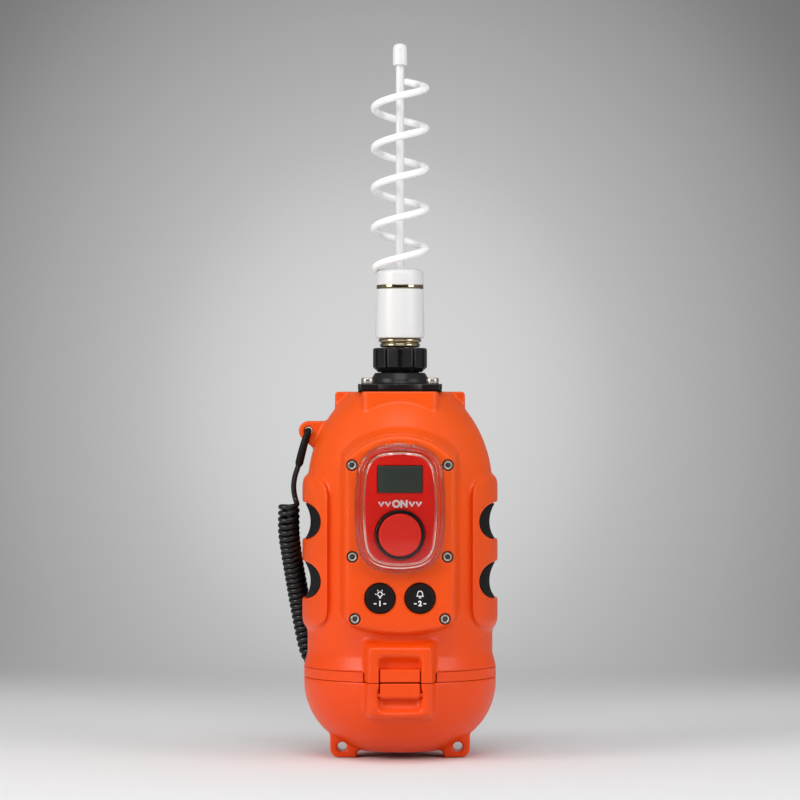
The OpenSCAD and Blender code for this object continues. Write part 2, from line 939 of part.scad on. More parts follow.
// Outline of the clear cover, drawn o inside its edge
module cover_outline(o) {
    l = 40;
    u = [cover_px - cover_c1x, cover_pz] / cover_q1;
    v = [cover_px, cover_pz - cover_c2z] / cover_q2;
    p = [cover_px, cover_pz];
    translate([0, cover_z])
        difference() {
            intersection() {
                translate([cover_c1x, 0])
                    circle(r = cover_side_r - o, $fn = 360);
                translate([-cover_c1x, 0])
                    circle(r = cover_side_r - o, $fn = 360);
                translate([0, cover_c2z])
                    circle(r = cover_top_r - o, $fn = 180);
                translate([0, -cover_c2z])
                    circle(r = cover_top_r - o, $fn = 180);
            }
            for (a = [-1, 1])
                for (b = [-1, 1])
                    difference() {
                        polygon([
                            [a * p[0], b * p[1]],
                            [a * (p[0] + l * u[0]), b * (p[1] + l * u[1])],
                            [a * (p[0] + l), b * (p[1] + l)],
                            [a * (p[0] + l * v[0]), b * (p[1] + l * v[1])]
                        ]);
                        translate([a * p[0], b * p[1]])
                            circle(r = cover_corner_r - o);
                    }
        }
}

module control_fascia() {
    color([0.72, 0.14, 0.06])
        difference() {
            plate(panel_y - fascia_t, panel_y)
                cover_outline(fascia_in);
            bar(0, activate_z, lid_y, panel_y + 1, ring_out_r + fit, ring_out_r + fit);
            plate(lid_y, panel_y + 1)
                translate([-display_w / 2 - fit, display_z - display_h / 2 - fit])
                    square([display_w + 2 * fit, display_h + 2 * fit]);
        }
}

module display_window() {
    color([0.2, 0.24, 0.22])
        translate([-display_w / 2, -panel_y - 0.3, display_z - display_h / 2])
            cube([display_w, fascia_t + 0.3, display_h]);
}

module display_module() {
    color([0.25, 0.3, 0.28]) {
        translate([-display_w / 2 - 2, -lid_y, display_z - display_h / 2 - 2])
            cube([display_w + 4, 4.4, display_h + 4]);
        translate([-display_w / 2 + 1.2, -panel_y + fascia_t, display_z - display_h / 2 + 1.2])
            cube([display_w - 2.4, lid_t - fascia_t + 0.1, display_h - 2.4]);
    }
}

module circuit_board() {
    color([0.08, 0.35, 0.18])
        translate([-board_w / 2, -board_y, board_z0])
            cube([board_w, board_t, board_z1 - board_z0]);
}

module switch_block() {
    color([0.15, 0.15, 0.16]) {
        bar(0, activate_z, board_y, switch_y, 3.4, 3);
        both_sides()
            bar(key_x, key_z, board_y, switch_y, 3.2, 2.8);
    }
}

module buzzer() {
    color([0.12, 0.12, 0.12])
        difference() {
            bar(0, 104, board_y - board_t - 8, board_y - board_t, 9, 9);
            bar(0, 104, board_y - board_t - 9, board_y - board_t - 7, 1.2, 1.2);
        }
}

module activate_ring() {
    color([0.1, 0.1, 0.1])
        difference() {
            union() {
                bar(0, activate_z, lid_y - ring_floor_t, ring_y - 0.6, ring_out_r, ring_out_r);
                bar(0, activate_z, ring_y - 0.6, ring_y, ring_out_r, ring_out_r - 0.6);
                bar(0, activate_z, lid_y - ring_floor_t, lid_y, ring_out_r + 2, ring_out_r + 2);
            }
            bar(0, activate_z, lid_y, ring_y + 1, ring_r, ring_r);
            bar(0, activate_z, lid_y - 5, lid_y + 1, stem_r + gap, stem_r + gap);
        }
}

module activate_button() {
    r = activate_d / 2;
    translate([0, 0, activate_z])
        color([0.85, 0.2, 0.12])
            difference() {
                union() {
                    bar(0, 0, cap_back_y, cap_y - 1, r, r);
                    bar(0, 0, cap_y - 1, cap_y, r, r - 1);
                    bar(0, 0, stem_y, cap_back_y + 1, stem_r, stem_r);
                    bar(0, 0, clip_y, clip_y + clip_t, clip_r, clip_r);
                }
                difference() {
                    bar(0, 0, cap_back_y - 1, cap_y - 3, r - 2.4, r - 2.4);
                    bar(0, 0, stem_y, cap_y, stem_r, stem_r);
                }
            }
}

module activate_spring() {
    n = 4;
    y0 = lid_y + 0.6;
    l = cap_y - 3 - lid_y - 1.2;
    p = [
        for (a = [0 : 20 : 360 * n])
            [6.4 * cos(a), -y0 - l * a / (360 * n), activate_z + 6.4 * sin(a)]
    ];
    color([0.7, 0.7, 0.7])
        tube(p, same(p, 0.5), 6);
}

module key_button() {
    bar(0, 0, key_flange_y, key_cap_y - 0.8, key_r, key_r);
    bar(0, 0, key_cap_y - 0.8, key_cap_y, key_r, key_r - 0.8);
    bar(0, 0, key_flange_y, key_flange_y + key_flange_t, key_flange_r, key_flange_r);
    bar(0, 0, key_stem_y, key_flange_y + 0.1, 2.4, 2.4);
}

module test_button() {
    color([0.11, 0.1, 0.1])
        translate([-key_x, 0, key_z])
            key_button();
}

module mute_button() {
    color([0.11, 0.1, 0.1])
        translate([key_x, 0, key_z])
            key_button();
}

module clear_cover() {
    x = cover_knuckle_x;
    far = panel_y + cover_t;
    color([0.95, 0.9, 0.9, 0.35])
        difference() {
            union() {
                plate(cover_back_y, panel_y + cover_rim_t)
                    cover_outline(0);
                plate(cover_back_y, far - 1.6)
                    cover_outline(1.6);
                plate(cover_back_y, far)
                    cover_outline(cover_step);
            }
            plate(cover_back_y - 1, panel_y + cover_rim_t - cover_wall)
                cover_outline(cover_step + 0.6);
            plate(cover_back_y - 1, far - cover_wall)
                cover_outline(cover_step + cover_wall);
            // room for the hinge ears and the pin
            both_sides()
                translate([x, -cover_axis_y - cover_knuckle_r - gap, cover_axis_z - 2.2])
                    cube([cover_ear_w + 2 * gap, 10, 8]);
            rod_x(-cover_axis_y, cover_axis_z, -x - 3, x + 3, cover_pin_r + fit);
            translate([-20, -cover_axis_y, cover_axis_z])
                difference() {
                    cube([40, 3, 8]);
                    rotate([0, 90, 0])
                        cylinder(h = 40, r = cover_knuckle_r);
                }
        }
}

module cover_hinge() {
    x = cover_knuckle_x + gap;
    color([0.95, 0.9, 0.9, 0.35])
        both_sides()
            difference() {
                across(x, x + cover_ear_w) {
                    translate([-cover_axis_y, cover_axis_z])
                        circle(r = cover_knuckle_r);
                    translate([-cover_axis_y, cover_axis_z - cover_knuckle_r])
                        square([cover_axis_y - panel_y, 2 * cover_knuckle_r]);
                }
                rod_x(-cover_axis_y, cover_axis_z, 0, 20, cover_pin_r + fit);
            }
}

module cover_pin() {
    x = cover_knuckle_x + gap + cover_ear_w;
    color([0.8, 0.8, 0.8])
        rod_x(-cover_axis_y, cover_axis_z, -x, x, cover_pin_r);
}

module grip_inserts() {
    intersection() {
        difference() {
            at_notches(notch_r - fit, 60);
            for (i = [0, 1])
                bar(notch_x - notch_r + insert_t + scoop_r, notch_z0 + i * notch_pitch, -grip_r - 2, grip_r + 2,
                    scoop_r, scoop_r);
        }
        translate([0, 0, grip_z0])
            cylinder(h = grip_z1 - grip_z0, r = grip_r - 0.5);
    }
}

module grip_left() {
    color([0.08, 0.08, 0.08])
        mirror([1, 0, 0])
            grip_inserts();
}

module grip_right() {
    color([0.08, 0.08, 0.08])
        grip_inserts();
}

module flange_outline() {
    hw = flange_w / 2;
    difference() {
        translate([-hw, -hw])
            square([flange_w, flange_w]);
        for (a = [0, 90, 180, 270])
            rotate([0, 0, a]) {
                translate([hw + 23, 0])
                    circle(r = 26);
                translate([hw - 2.4, hw - 2.4])
                    difference() {
                        square([3, 3]);
                        circle(r = 2.4);
                    }
            }
    }
}

module antenna_base() {
    color([0.12, 0.12, 0.12])
        difference() {
            union() {
                translate([0, 0, flange_z])
                    linear_extrude(height = skirt_z - flange_z)
                        flange_outline();
                translate([0, 0, skirt_z - 0.01])
                    cylinder(h = skirt_h / 2, r1 = skirt_r0, r2 = skirt_r0 - 0.9);
                translate([0, 0, skirt_z + skirt_h / 2 - 0.02])
                    cylinder(h = skirt_h / 2 + 0.02, r1 = skirt_r0 - 0.9, r2 = skirt_r1);
                translate([0, 0, flange_z])
                    cylinder(h = neck_z - flange_z, r = neck_out_r);
            }
            translate([0, 0, flange_z - 1])
                cylinder(h = neck_z - flange_z + 2, r = neck_bore_r);
            at_deck_screws()
                translate([0, 0, flange_z - 1])
                    cylinder(h = 10, r = shank_r + fit);
            at_deck_screws()
                translate([0, 0, skirt_z])
                    cylinder(h = 10, r = 3.8);
        }
}

module at_deck_screws() {
    for (x = [-deck_screw_p, deck_screw_p])
        for (y = [-deck_screw_p, deck_screw_p])
            translate([x, y, 0])
                children();
}

module flange_seal() {
    color([0.08, 0.08, 0.08])
        difference() {
            translate([0, 0, deck_z])
                linear_extrude(height = flange_seal_t)
                    flange_outline();
            translate([0, 0, deck_z - 1])
                cylinder(h = 4, r = 10);
            at_deck_screws()
                translate([0, 0, deck_z - 1])
                    cylinder(h = 4, r = shank_r + fit);
        }
}

module flange_screws() {
    color([0.75, 0.74, 0.72])
        at_deck_screws()
            difference() {
                union() {
                    translate([0, 0, deck_z - 9])
                        cylinder(h = skirt_z - deck_z + 9.1, r = shank_r);
                    translate([0, 0, skirt_z])
                        cylinder(h = 2.3, r = 3.5);
                    translate([0, 0, skirt_z + 2.3])
                        cylinder(h = 1, r1 = 3.5, r2 = 2.4);
                }
                translate([0, 0, skirt_z + 1.8])
                    cylinder(h = 3, r = 1.2);
            }
}

module antenna_socket() {
    color([0.82, 0.66, 0.36])
        difference() {
            translate([0, 0, deck_in_z - 12])
                cylinder(h = deck_z - deck_in_z + 12, r = 8 - fit);
            translate([0, 0, plug_z - 2])
                cylinder(h = 20, r = neck_bore_r);
        }
}

module latch_keeper() {
    color([0.93, 0.3, 0.12])
        translate([-lever_w / 2, -lever_y, keeper_z0])
            cube([lever_w, lever_y - latch_floor_y, keeper_z1 - keeper_z0]);
}

module hinge_pin() {
    color([0.75, 0.75, 0.75])
        rod_x(hinge_y, split_z, -hinge_hw, hinge_hw, hinge_pin_r);
}

// Section of the battery case, drawn o inside its outer face
module bowl_section(o) {
    join_z = bowl_cz - (bowl_r - o) * sin(bowl_dir);
    intersection() {
        translate([bowl_cx, bowl_cz])
            circle(r = bowl_r - o);
        translate([bowl_cx, join_z])
            square([60, bowl_cz - join_z]);
    }
    translate([0, join_z])
        square([bowl_cx, bowl_cz - join_z]);
    translate([0, bowl_cz])
        square([case_r - o, case_z - bowl_cz]);
    intersection() {
        translate([0, bottom_cz])
            circle(r = bottom_r - o, $fn = 180);
        translate([0, bowl_z + o])
            square([60, join_z - bowl_z - o]);
    }
}

module foot_outline() {
    x0 = foot_x - foot_w;
    r = foot_corner_r;
    polygon([
        [x0, 0],
        [foot_x - r, 0],
        [foot_x - r, r],
        [foot_x, r],
        [foot_x, 28],
        [x0 - 4, 28],
        [x0 - 1.6, bowl_z + 4]
    ]);
    translate([foot_x - r, r])
        circle(r = r);
}

module bottom_case() {
    color([0.93, 0.33, 0.14])
        difference() {
            union() {
                rotate_extrude()
                    bowl_section(0);
                both_sides()
                    plate(-foot_y - foot_t / 2, -foot_y + foot_t / 2)
                        foot_outline();
                latch_frame(latch_z0 - 4, case_z);
                across(-knuckle_hw, knuckle_hw) {
                    translate([hinge_y, split_z])
                        circle(r = knuckle_r);
                    polygon([
                        [hinge_y + knuckle_r, split_z],
                        [hinge_y + 0.6, split_z - 8],
                        [44, split_z - 18],
                        [44, case_z],
                        [hinge_y - knuckle_r, case_z]
                    ]);
                }
            }
            rotate_extrude()
                intersection() {
                    bowl_section(wall);
                    square([60, rim_z]);
                }
            translate([0, 0, rim_z - 1])
                cylinder(h = 8, r = neck_r);
            ring(case_z - seal_h, case_z + 1, seal_r0 - 0.1, seal_r1 + 0.1);
            both_sides()
                bar((foot_hole_p) / 2, foot_hole_z, -30, 30, foot_hole_d / 2, foot_hole_d / 2);
            rod_x(-latch_pin_y, latch_pin_z, -14.4, 14.4, latch_pin_d / 2 + fit);
            rod_x(hinge_y, split_z, -hinge_hw, hinge_hw, hinge_pin_r + fit);
        }
}

module case_seal() {
    color([0.08, 0.08, 0.08])
        ring(case_z - seal_h, case_z + 0.15, seal_r0, seal_r1);
}

module battery_tray() {
    color([0.3, 0.3, 0.32])
        difference() {
            intersection() {
                translate([-tray_w / 2, -tray_d / 2, floor_z])
                    cube([tray_w, tray_d, tray_z - floor_z]);
                union() {
                    rotate_extrude()
                        intersection() {
                            bowl_section(wall + 0.4);
                            square([60, tray_z]);
                        }
                    translate([0, 0, floor_z])
                        cylinder(h = 2, r = 16);
                }
            }
            for (x = [-cell_x, cell_x])
                bar(x, cell_z, -cell_h / 2 - 0.1, cell_h / 2 + 0.1, cell_r + 0.1, cell_r + 0.1);
        }
}

module battery_cells() {
    color([0.2, 0.35, 0.6])
        for (x = [-cell_x, cell_x])
            bar(x, cell_z, -cell_h / 2, cell_h / 2, cell_r, cell_r);
}

module battery_contacts() {
    color([0.86, 0.68, 0.35])
        for (x = [-cell_x, cell_x])
            translate([x, 0, 0]) {
                translate([-5, -tray_d / 2 + 0.2, tray_z])
                    cube([10, 1, strip_z - tray_z]);
                translate([-5, -tray_d / 2 + 0.2, strip_z])
                    cube([10, tray_d / 2 + 5, 1]);
            }
}

module latch_pin() {
    color([0.75, 0.75, 0.75])
        rod_x(-latch_pin_y, latch_pin_z, -14, 14, latch_pin_d / 2);
}

module latch_lever() {
    hw = lever_w / 2;
    color([0.93, 0.3, 0.12])
        difference() {
            union() {
                rod_x(-latch_pin_y, latch_pin_z, -hw, hw, lever_r);
                across(-hw, hw)
                    polygon([
                        [-lever_back_y, latch_pin_z],
                        [-lever_back_y, lever_top_z],
                        [-lever_y + 0.5, lever_top_z],
                        [-lever_y, lever_top_z - 0.5],
                        [-lever_y, latch_pin_z - 0.6],
                        [-latch_pin_y - 1.4, latch_pin_z - 1.5]
                    ]);
            }
            rod_x(-latch_pin_y, latch_pin_z, -20, 20, latch_pin_d / 2 + fit);
        }
}

module coupling_nut() {
    grooves = 12;
    color([0.11, 0.11, 0.11])
        difference() {
            union() {
                translate([0, 0, nut_z])
                    cylinder(h = 2.6, r1 = nut_r - 3.1, r2 = nut_r);
                translate([0, 0, nut_z + 2.6])
                    cylinder(h = nut_h - 3.6, r = nut_r);
                translate([0, 0, nut_top_z - 1])
                    cylinder(h = 1, r1 = nut_r, r2 = nut_r - 1);
            }
            translate([0, 0, nut_z - 1])
                cylinder(h = nut_wall_z - nut_z + 1, r = neck_out_r + gap);
            translate([0, 0, nut_z])
                cylinder(h = nut_h + 1, r = plug_stem_r + gap);
            for (i = [0 : grooves - 1])
                rotate([0, 0, i * 360 / grooves])
                    translate([nut_r + 0.75, 0, nut_z - 1])
                        cylinder(h = nut_h + 2, r = 1.3, $fn = 24);
        }
}

module antenna_plug() {
    color([0.82, 0.66, 0.36]) {
        translate([0, 0, plug_z])
            cylinder(h = plug_flange_z - plug_z + 0.6, r = plug_r);
        translate([0, 0, plug_flange_z + 0.3])
            cylinder(h = nut_wall_z - plug_flange_z - 0.6, r = plug_flange_r);
        translate([0, 0, plug_flange_z + 0.5])
            cylinder(h = collar_z - plug_flange_z - 0.5, r = plug_stem_r);
    }
}

module antenna_collar() {
    bead = collar_h / 2;
    color([0.83, 0.79, 0.68])
        difference() {
            rotate_extrude()
                union() {
                    translate([0, collar_z])
                        square([10.4, collar_h]);
                    translate([11 - bead / 2, collar_z + bead / 2])
                        circle(r = bead / 2);
                    translate([11.8 - bead / 2, collar_z + 1.5 * bead])
                        circle(r = bead / 2);
                    translate([0, collar_z])
                        square([11 - bead / 2, bead]);
                    translate([0, collar_z + bead])
                        square([11.8 - bead / 2, bead]);
                }
            translate([0, 0, collar_z - 1])
                cylinder(h = collar_h + 2, r = core_r + fit);
        }
}

module antenna_sleeve() {
    e = 0.9;
    color([0.94, 0.94, 0.93])
        difference() {
            rotate_extrude()
                polygon([
                    [core_r + fit, sleeve_z],
                    [sleeve_r - e, sleeve_z],
                    [sleeve_r, sleeve_z + e],
                    [sleeve_top_r, sleeve_top_z - 0.3],
                    [sleeve_top_r - 0.3, sleeve_top_z],
                    [core_r + fit, sleeve_top_z]
                ]);
        }
}

module sleeve_ring() {
    color([0.78, 0.72, 0.58])
        ring(sleeve_top_z, cap_z, core_r + fit, sleeve_top_r - 0.05);
}

module antenna_cap() {
    r = sleeve_top_r + 0.05;
    color([0.94, 0.94, 0.93])
        difference() {
            rotate_extrude()
                union() {
                    polygon([
                        [core_r + fit, cap_z],
                        [r - 0.3, cap_z],
                        [r, cap_z + 0.3],
                        [r - 0.3, cap_top_z - 3],
                        [core_r + fit, cap_top_z - 3]
                    ]);
                    translate([core_r + fit, cap_top_z - 3.01])
                        square([r - 3.3 - core_r - fit, 3.01]);
                    intersection() {
                        translate([r - 3.3, cap_top_z - 3])
                            circle(r = 3);
                        translate([core_r, cap_top_z - 3.01])
                            square([20, 3.01]);
                    }
                }
        }
}

module antenna_rod() {
    color([0.94, 0.94, 0.93]) {
        translate([0, 0, collar_z])
            cylinder(h = cap_top_z - collar_z - 1, r = core_r);
        translate([0, 0, cap_top_z - 1.01])
            cylinder(h = 1.01, r1 = core_r, r2 = core_r);
        translate([0, 0, cap_top_z])
            cylinder(h = rod_top_z - cap_top_z, r = rod_r);
    }
}

module antenna_tip() {
    color([0.92, 0.92, 0.91])
        rotate_extrude()
            union() {
                polygon([
                    [0, rod_top_z],
                    [tip_r - 0.5, rod_top_z],
                    [tip_r, rod_top_z + 0.5],
                    [tip_r, rod_top_z + tip_h - 3],
                    [0, rod_top_z + tip_h - 3]
                ]);
                translate([0, rod_top_z + tip_h - 3.01])
                    square([tip_r - 3, 3.01]);
                intersection() {
                    translate([tip_r - 3, rod_top_z + tip_h - 3])
                        circle(r = 3);
                    translate([0, rod_top_z + tip_h - 3.01])
                        square([6, 3.01]);
                }
            }
}

function helix_r(a) = helix_d / 2 - helix_in * pow(max(0, helix_a0 + helix_in_a - a) / helix_in_a, 2);
module antenna_helix() {
    p = [
        for (a = [helix_a0 : helix_step : helix_a1])
            [helix_r(a) * cos(a), helix_r(a) * sin(a), helix_z + helix_pitch * a / 360]
    ];
    color([0.94, 0.94, 0.93])
        tube(p, same(p, wire_d / 2), 8);
}

module tether_sleeve() {
    color([0.13, 0.12, 0.12]) {
        tube(tether_exit, tether_exit_r, 12);
        bar(-eye_x, eye_z, -4, 5, 2.2 - fit, 2.2 - fit);
    }
}

module tether_lead() {
    p = smooth(tether_lead, 3);
    color([0.13, 0.12, 0.12])
        tube(p, same(p, tether_r), 8);
}

module tether_coil() {
    p = smooth(tether_coil, 5);
    color([0.13, 0.12, 0.12])
        tube(p, same(p, coil_r), 12);
}

module tether_tail() {
    p = smooth(tether_tail, 3);
    color([0.13, 0.12, 0.12])
        tube(p, same(p, tether_r), 8);
}

module tether_crimp() {
    color([0.13, 0.12, 0.12])
        union() {
            bar(-anchor_x, anchor_z, -anchor_y - 8, -anchor_y - anchor_t / 2, 3, 3);
            bar(-anchor_x, anchor_z, -anchor_y - 3, -anchor_y + 4, 1.8 - fit, 1.8 - fit);
        }
}

main_housing();
joint_band();
bulkhead();
power_contacts();
front_panel();
panel_seal();
panel_screws();
control_fascia();
display_window();
display_module();
circuit_board();
switch_block();
buzzer();
activate_ring();
cover_hinge();
cover_pin();
grip_left();
grip_right();
antenna_base();
flange_seal();
flange_screws();
antenna_socket();
latch_keeper();
hinge_pin();
clear_cover();
activate_button();
activate_spring();
test_button();
mute_button();
bottom_case();
case_seal();
battery_tray();
battery_cells();
battery_contacts();
latch_pin();
latch_lever();
coupling_nut();
antenna_plug();
antenna_collar();
antenna_sleeve();
sleeve_ring();
antenna_cap();
antenna_rod();
antenna_helix();
antenna_tip();
tether_sleeve();
tether_lead();
tether_coil();
tether_tail();
tether_crimp();
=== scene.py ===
"""Looks of a round, orange emergency position beacon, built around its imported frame.

Every size is in metres. Z is up and the control panel faces -Y.
"""

import json
import math

import bmesh
import bpy
import numpy as np
from bpy.props import FloatProperty, FloatVectorProperty, PointerProperty
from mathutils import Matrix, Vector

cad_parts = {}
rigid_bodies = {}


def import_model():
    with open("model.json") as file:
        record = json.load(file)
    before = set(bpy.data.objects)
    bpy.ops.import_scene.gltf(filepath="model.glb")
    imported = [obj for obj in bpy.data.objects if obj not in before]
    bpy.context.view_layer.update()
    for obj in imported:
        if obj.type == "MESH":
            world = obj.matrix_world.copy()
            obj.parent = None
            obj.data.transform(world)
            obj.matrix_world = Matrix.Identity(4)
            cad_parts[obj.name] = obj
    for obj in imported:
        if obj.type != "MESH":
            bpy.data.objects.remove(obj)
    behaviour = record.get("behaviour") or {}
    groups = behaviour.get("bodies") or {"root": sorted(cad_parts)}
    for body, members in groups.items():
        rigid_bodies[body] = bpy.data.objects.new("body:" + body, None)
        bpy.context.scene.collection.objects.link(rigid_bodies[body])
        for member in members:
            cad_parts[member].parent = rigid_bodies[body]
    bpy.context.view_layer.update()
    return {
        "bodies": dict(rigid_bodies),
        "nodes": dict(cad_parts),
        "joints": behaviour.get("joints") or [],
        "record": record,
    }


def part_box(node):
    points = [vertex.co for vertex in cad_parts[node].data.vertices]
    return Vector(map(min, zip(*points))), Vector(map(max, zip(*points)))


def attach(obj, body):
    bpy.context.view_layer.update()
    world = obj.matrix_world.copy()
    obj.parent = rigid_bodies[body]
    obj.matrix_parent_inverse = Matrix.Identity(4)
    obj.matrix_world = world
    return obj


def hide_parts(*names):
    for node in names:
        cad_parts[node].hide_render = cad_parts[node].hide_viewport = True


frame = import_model()
NODES = frame["nodes"]

bl_info = {
    "name": "Position Beacon Looks",
    "version": (1, 0, 0),
    "blender": (4, 5, 0),
    "location": "View3D > Sidebar > Beacon",
    "description": "Builds the finished surfaces of a position beacon around its CAD frame",
    "category": "Object",
}

TAU = 2 * math.pi
# radius at which a turned form closes on its axis
AXIS = 0.0001
# middles of the panel's screws on one side, and of the finger notches, in millimetres
PANEL_SCREWS = ((25.6, 160.6), (25.4, 111.6), (24.1, 78.4))
NOTCHES = ((52.9, 97.1), (52.9, 129.4))


def ends(node):
    """The low and the high corner of a node's box."""
    return np.array(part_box(node))


def lows(node):
    return ends(node)[0]


def highs(node):
    return ends(node)[1]


def middle(node):
    return ends(node).mean(0)


def upright(node):
    """The radius, foot and top of a round piece that stands upright."""
    (x0, _, z0), (x1, _, z1) = ends(node)
    return (x1 - x0) / 2, z0, z1


def facing(node):
    """The radius, face and back of a round piece that faces the front, as distances along -Y."""
    (x0, y0, _), (x1, y1, _) = ends(node)
    return (x1 - x0) / 2, -y0, -y1


# ---- surfaces


def sheet(name, points, close_u=True, close_v=False, caps=True):
    """A surface through a grid of points [u, v]: each cell is a quad, the u rows join round
    into a ring, and the first and last v rings are closed by a face."""
    nu, nv = points.shape[:2]
    u = np.arange(nu if close_u else nu - 1)
    v = np.arange(nv if close_v else nv - 1)
    a, b = np.meshgrid(u, v, indexing="ij")
    c, d = (a + 1) % nu, (b + 1) % nv
    quads = np.stack([a * nv + b, c * nv + b, c * nv + d, a * nv + d], -1).reshape(-1, 4)
    faces = quads.tolist()
    if caps and close_u and not close_v:
        faces.append((np.arange(nu) * nv)[::-1].tolist())
        faces.append((np.arange(nu) * nv + nv - 1).tolist())
    mesh = bpy.data.meshes.new(name)
    mesh.from_pydata(points.reshape(-1, 3).tolist(), [], faces)
    return mesh


def tidy_mesh(mesh, merge=1e-7, outwards=True):
    """Merges points that lie together, and turns every face outwards."""
    bm = bmesh.new()
    bm.from_mesh(mesh)
    bmesh.ops.remove_doubles(bm, verts=bm.verts, dist=merge)
    if outwards:
        bmesh.ops.dissolve_degenerate(bm, edges=bm.edges, dist=merge)
        bmesh.ops.recalc_face_normals(bm, faces=bm.faces)
    bm.to_mesh(mesh)
    bm.free()
    return mesh


def join_meshes(name, meshes):
    """One mesh that holds all the given ones."""
    bm = bmesh.new()
    for m in meshes:
        bm.from_mesh(m)
        bpy.data.meshes.remove(m)
    mesh = bpy.data.meshes.new(name)
    bm.to_mesh(mesh)
    bm.free()
    return mesh


def rounded(path, radius, steps=5):
    """A polyline whose corners are arcs. At each corner the arc starts and ends at the same
    distance along both sides, as a quadratic curve that has the corner as its control point."""
    p = np.asarray(path, float)
    r = np.broadcast_to(radius, len(p))
    out = [p[:1]]
    for i in range(1, len(p) - 1):
        a, b = p[i - 1] - p[i], p[i + 1] - p[i]
        la, lb = np.linalg.norm(a), np.linalg.norm(b)
        fa = 0.49 if i > 1 and r[i - 1] > 0 else 0.98
        fb = 0.49 if i < len(p) - 2 and r[i + 1] > 0 else 0.98
        d = min(r[i], fa * la, fb * lb)
        t = np.linspace(0, 1, steps)[:, None]
        s, e = p[i] + a / la * d, p[i] + b / lb * d
        out.append((1 - t) ** 2 * s + 2 * t * (1 - t) * p[i] + t**2 * e)
    out.append(p[-1:])
    return np.concatenate(out)


def turned(name, profile, centre=(0, 0, 0), axis="Z", count=96, hollow=False):
    """A profile of (radius, height) carried round an axis: x = r cos a, y = r sin a, and the
    height runs along the axis. For axis Y the height points to the front, to -Y. A hollow
    form's profile joins its last point to its first."""
    r, h = np.asarray(profile, float).T[:, None]
    a = np.arange(count)[:, None] * TAU / count
    return tidy_mesh(sheet(name, on_axis(r, h, a, axis) + np.array(centre), True, hollow, not hollow))


def on_axis(r, h, a, axis):
    """Points at radius r, height h and angle a about the Z axis or, facing the front, about Y."""
    across, up, h = np.broadcast_arrays(r * np.cos(a), r * np.sin(a), h)
    return np.stack([across, up, h] if axis == "Z" else [across, -h, up], -1)


def unit(v):
    """Each row scaled to length one."""
    return v / np.linalg.norm(v, axis=1)[:, None]


def frames_along(path):
    """Unit vectors along a path and across it: the tangent is the difference of neighbours,
    and the other two come from its cross product with a fixed direction."""
    t = unit(np.gradient(path, axis=0))
    n = unit(np.cross(t, (0.31, 0.87, 0.38)))
    return t, n, np.cross(t, n)


def tube_mesh(name, path, radius, count=12, round_ends=True):
    """A round bar along a path: each ring is path + r (cos a n + sin a b). The ends are half
    balls, made of rings whose radius falls as a cosine while they move on by a sine."""
    path = np.asarray(path, float)
    r = np.broadcast_to(radius, len(path)).astype(float)
    t, n, b = frames_along(path)
    if round_ends:
        q = np.radians([90, 70, 45, 20])
        r0, r1 = r[0], r[-1]
        head = path[0] - t[0] * (r0 * np.sin(q))[:, None]
        tail = path[-1] + t[-1] * (r1 * np.sin(q[::-1]))[:, None]
        path = np.concatenate([head, path, tail])
        r = np.concatenate([r0 * np.cos(q), r, r1 * np.cos(q[::-1])])
        n, b = (np.pad(v, ((4, 4), (0, 0)), mode="edge") for v in (n, b))
    a = np.arange(count) * TAU / count
    c, s = np.cos(a)[:, None, None], np.sin(a)[:, None, None]
    p = path[None] + r[None, :, None] * (c * n[None] + s * b[None])
    return tidy_mesh(sheet(name, p))


def smooth_path(points, per_span):
    """A smooth course through the points: the cubic whose slope at each point is half the
    difference of its two neighbours."""
    p = np.asarray(points, float)
    e = np.concatenate([p[:1], p, p[-1:]])
    u = (np.arange(per_span) / per_span)[None, :, None]
    a, b, c, d = (e[i : len(e) - 3 + i, None] for i in range(4))
    q = 2 * b + (c - a) * u + (2 * a - 5 * b + 4 * c - d) * u**2 + (3 * b - a - 3 * c + d) * u**3
    return np.concatenate([0.5 * q.reshape(-1, 3), p[-1:]])


def along(path):
    """Distance of each point of a path from its start."""
    return np.concatenate([[0], np.cumsum(np.linalg.norm(np.diff(path, axis=0), axis=1))])


def even_path(path, step):
    """The same course with its points a fixed distance apart."""
    d = along(path)
    s = np.linspace(0, d[-1], max(3, int(round(d[-1] / step)) + 1))
    return np.stack([np.interp(s, d, path[:, k]) for k in range(3)], 1)


# ---- placing


def linked(name, data):
    """A new object in the scene."""
    obj = bpy.data.objects.new(name, data)
    bpy.context.scene.collection.objects.link(obj)
    return obj


def place(name, mesh, body, finish, *stands_for, smooth=True):
    """Puts a finished mesh, or a list of them as one, into the scene on its body, with its
    finish and that finish's slot."""
    if isinstance(mesh, list):
        mesh = join_meshes(name, mesh)
    obj = linked(name, mesh)
    mesh.shade_smooth() if smooth else mesh.shade_flat()
    mesh.materials.clear()
    mesh.materials.append(finishes()[finish])
    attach(obj, body)
    if stands_for:
        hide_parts(*stands_for)
    return obj


def sharpen(mesh, angle):
    """Keeps edges crisp where two faces meet at more than the angle."""
    mesh.set_sharp_from_angle(angle=math.radians(angle))


def points_of(mesh):
    """The mesh's points, one row each."""
    co = np.empty(len(mesh.vertices) * 3)
    mesh.vertices.foreach_get("co", co)
    return co.reshape(-1, 3)


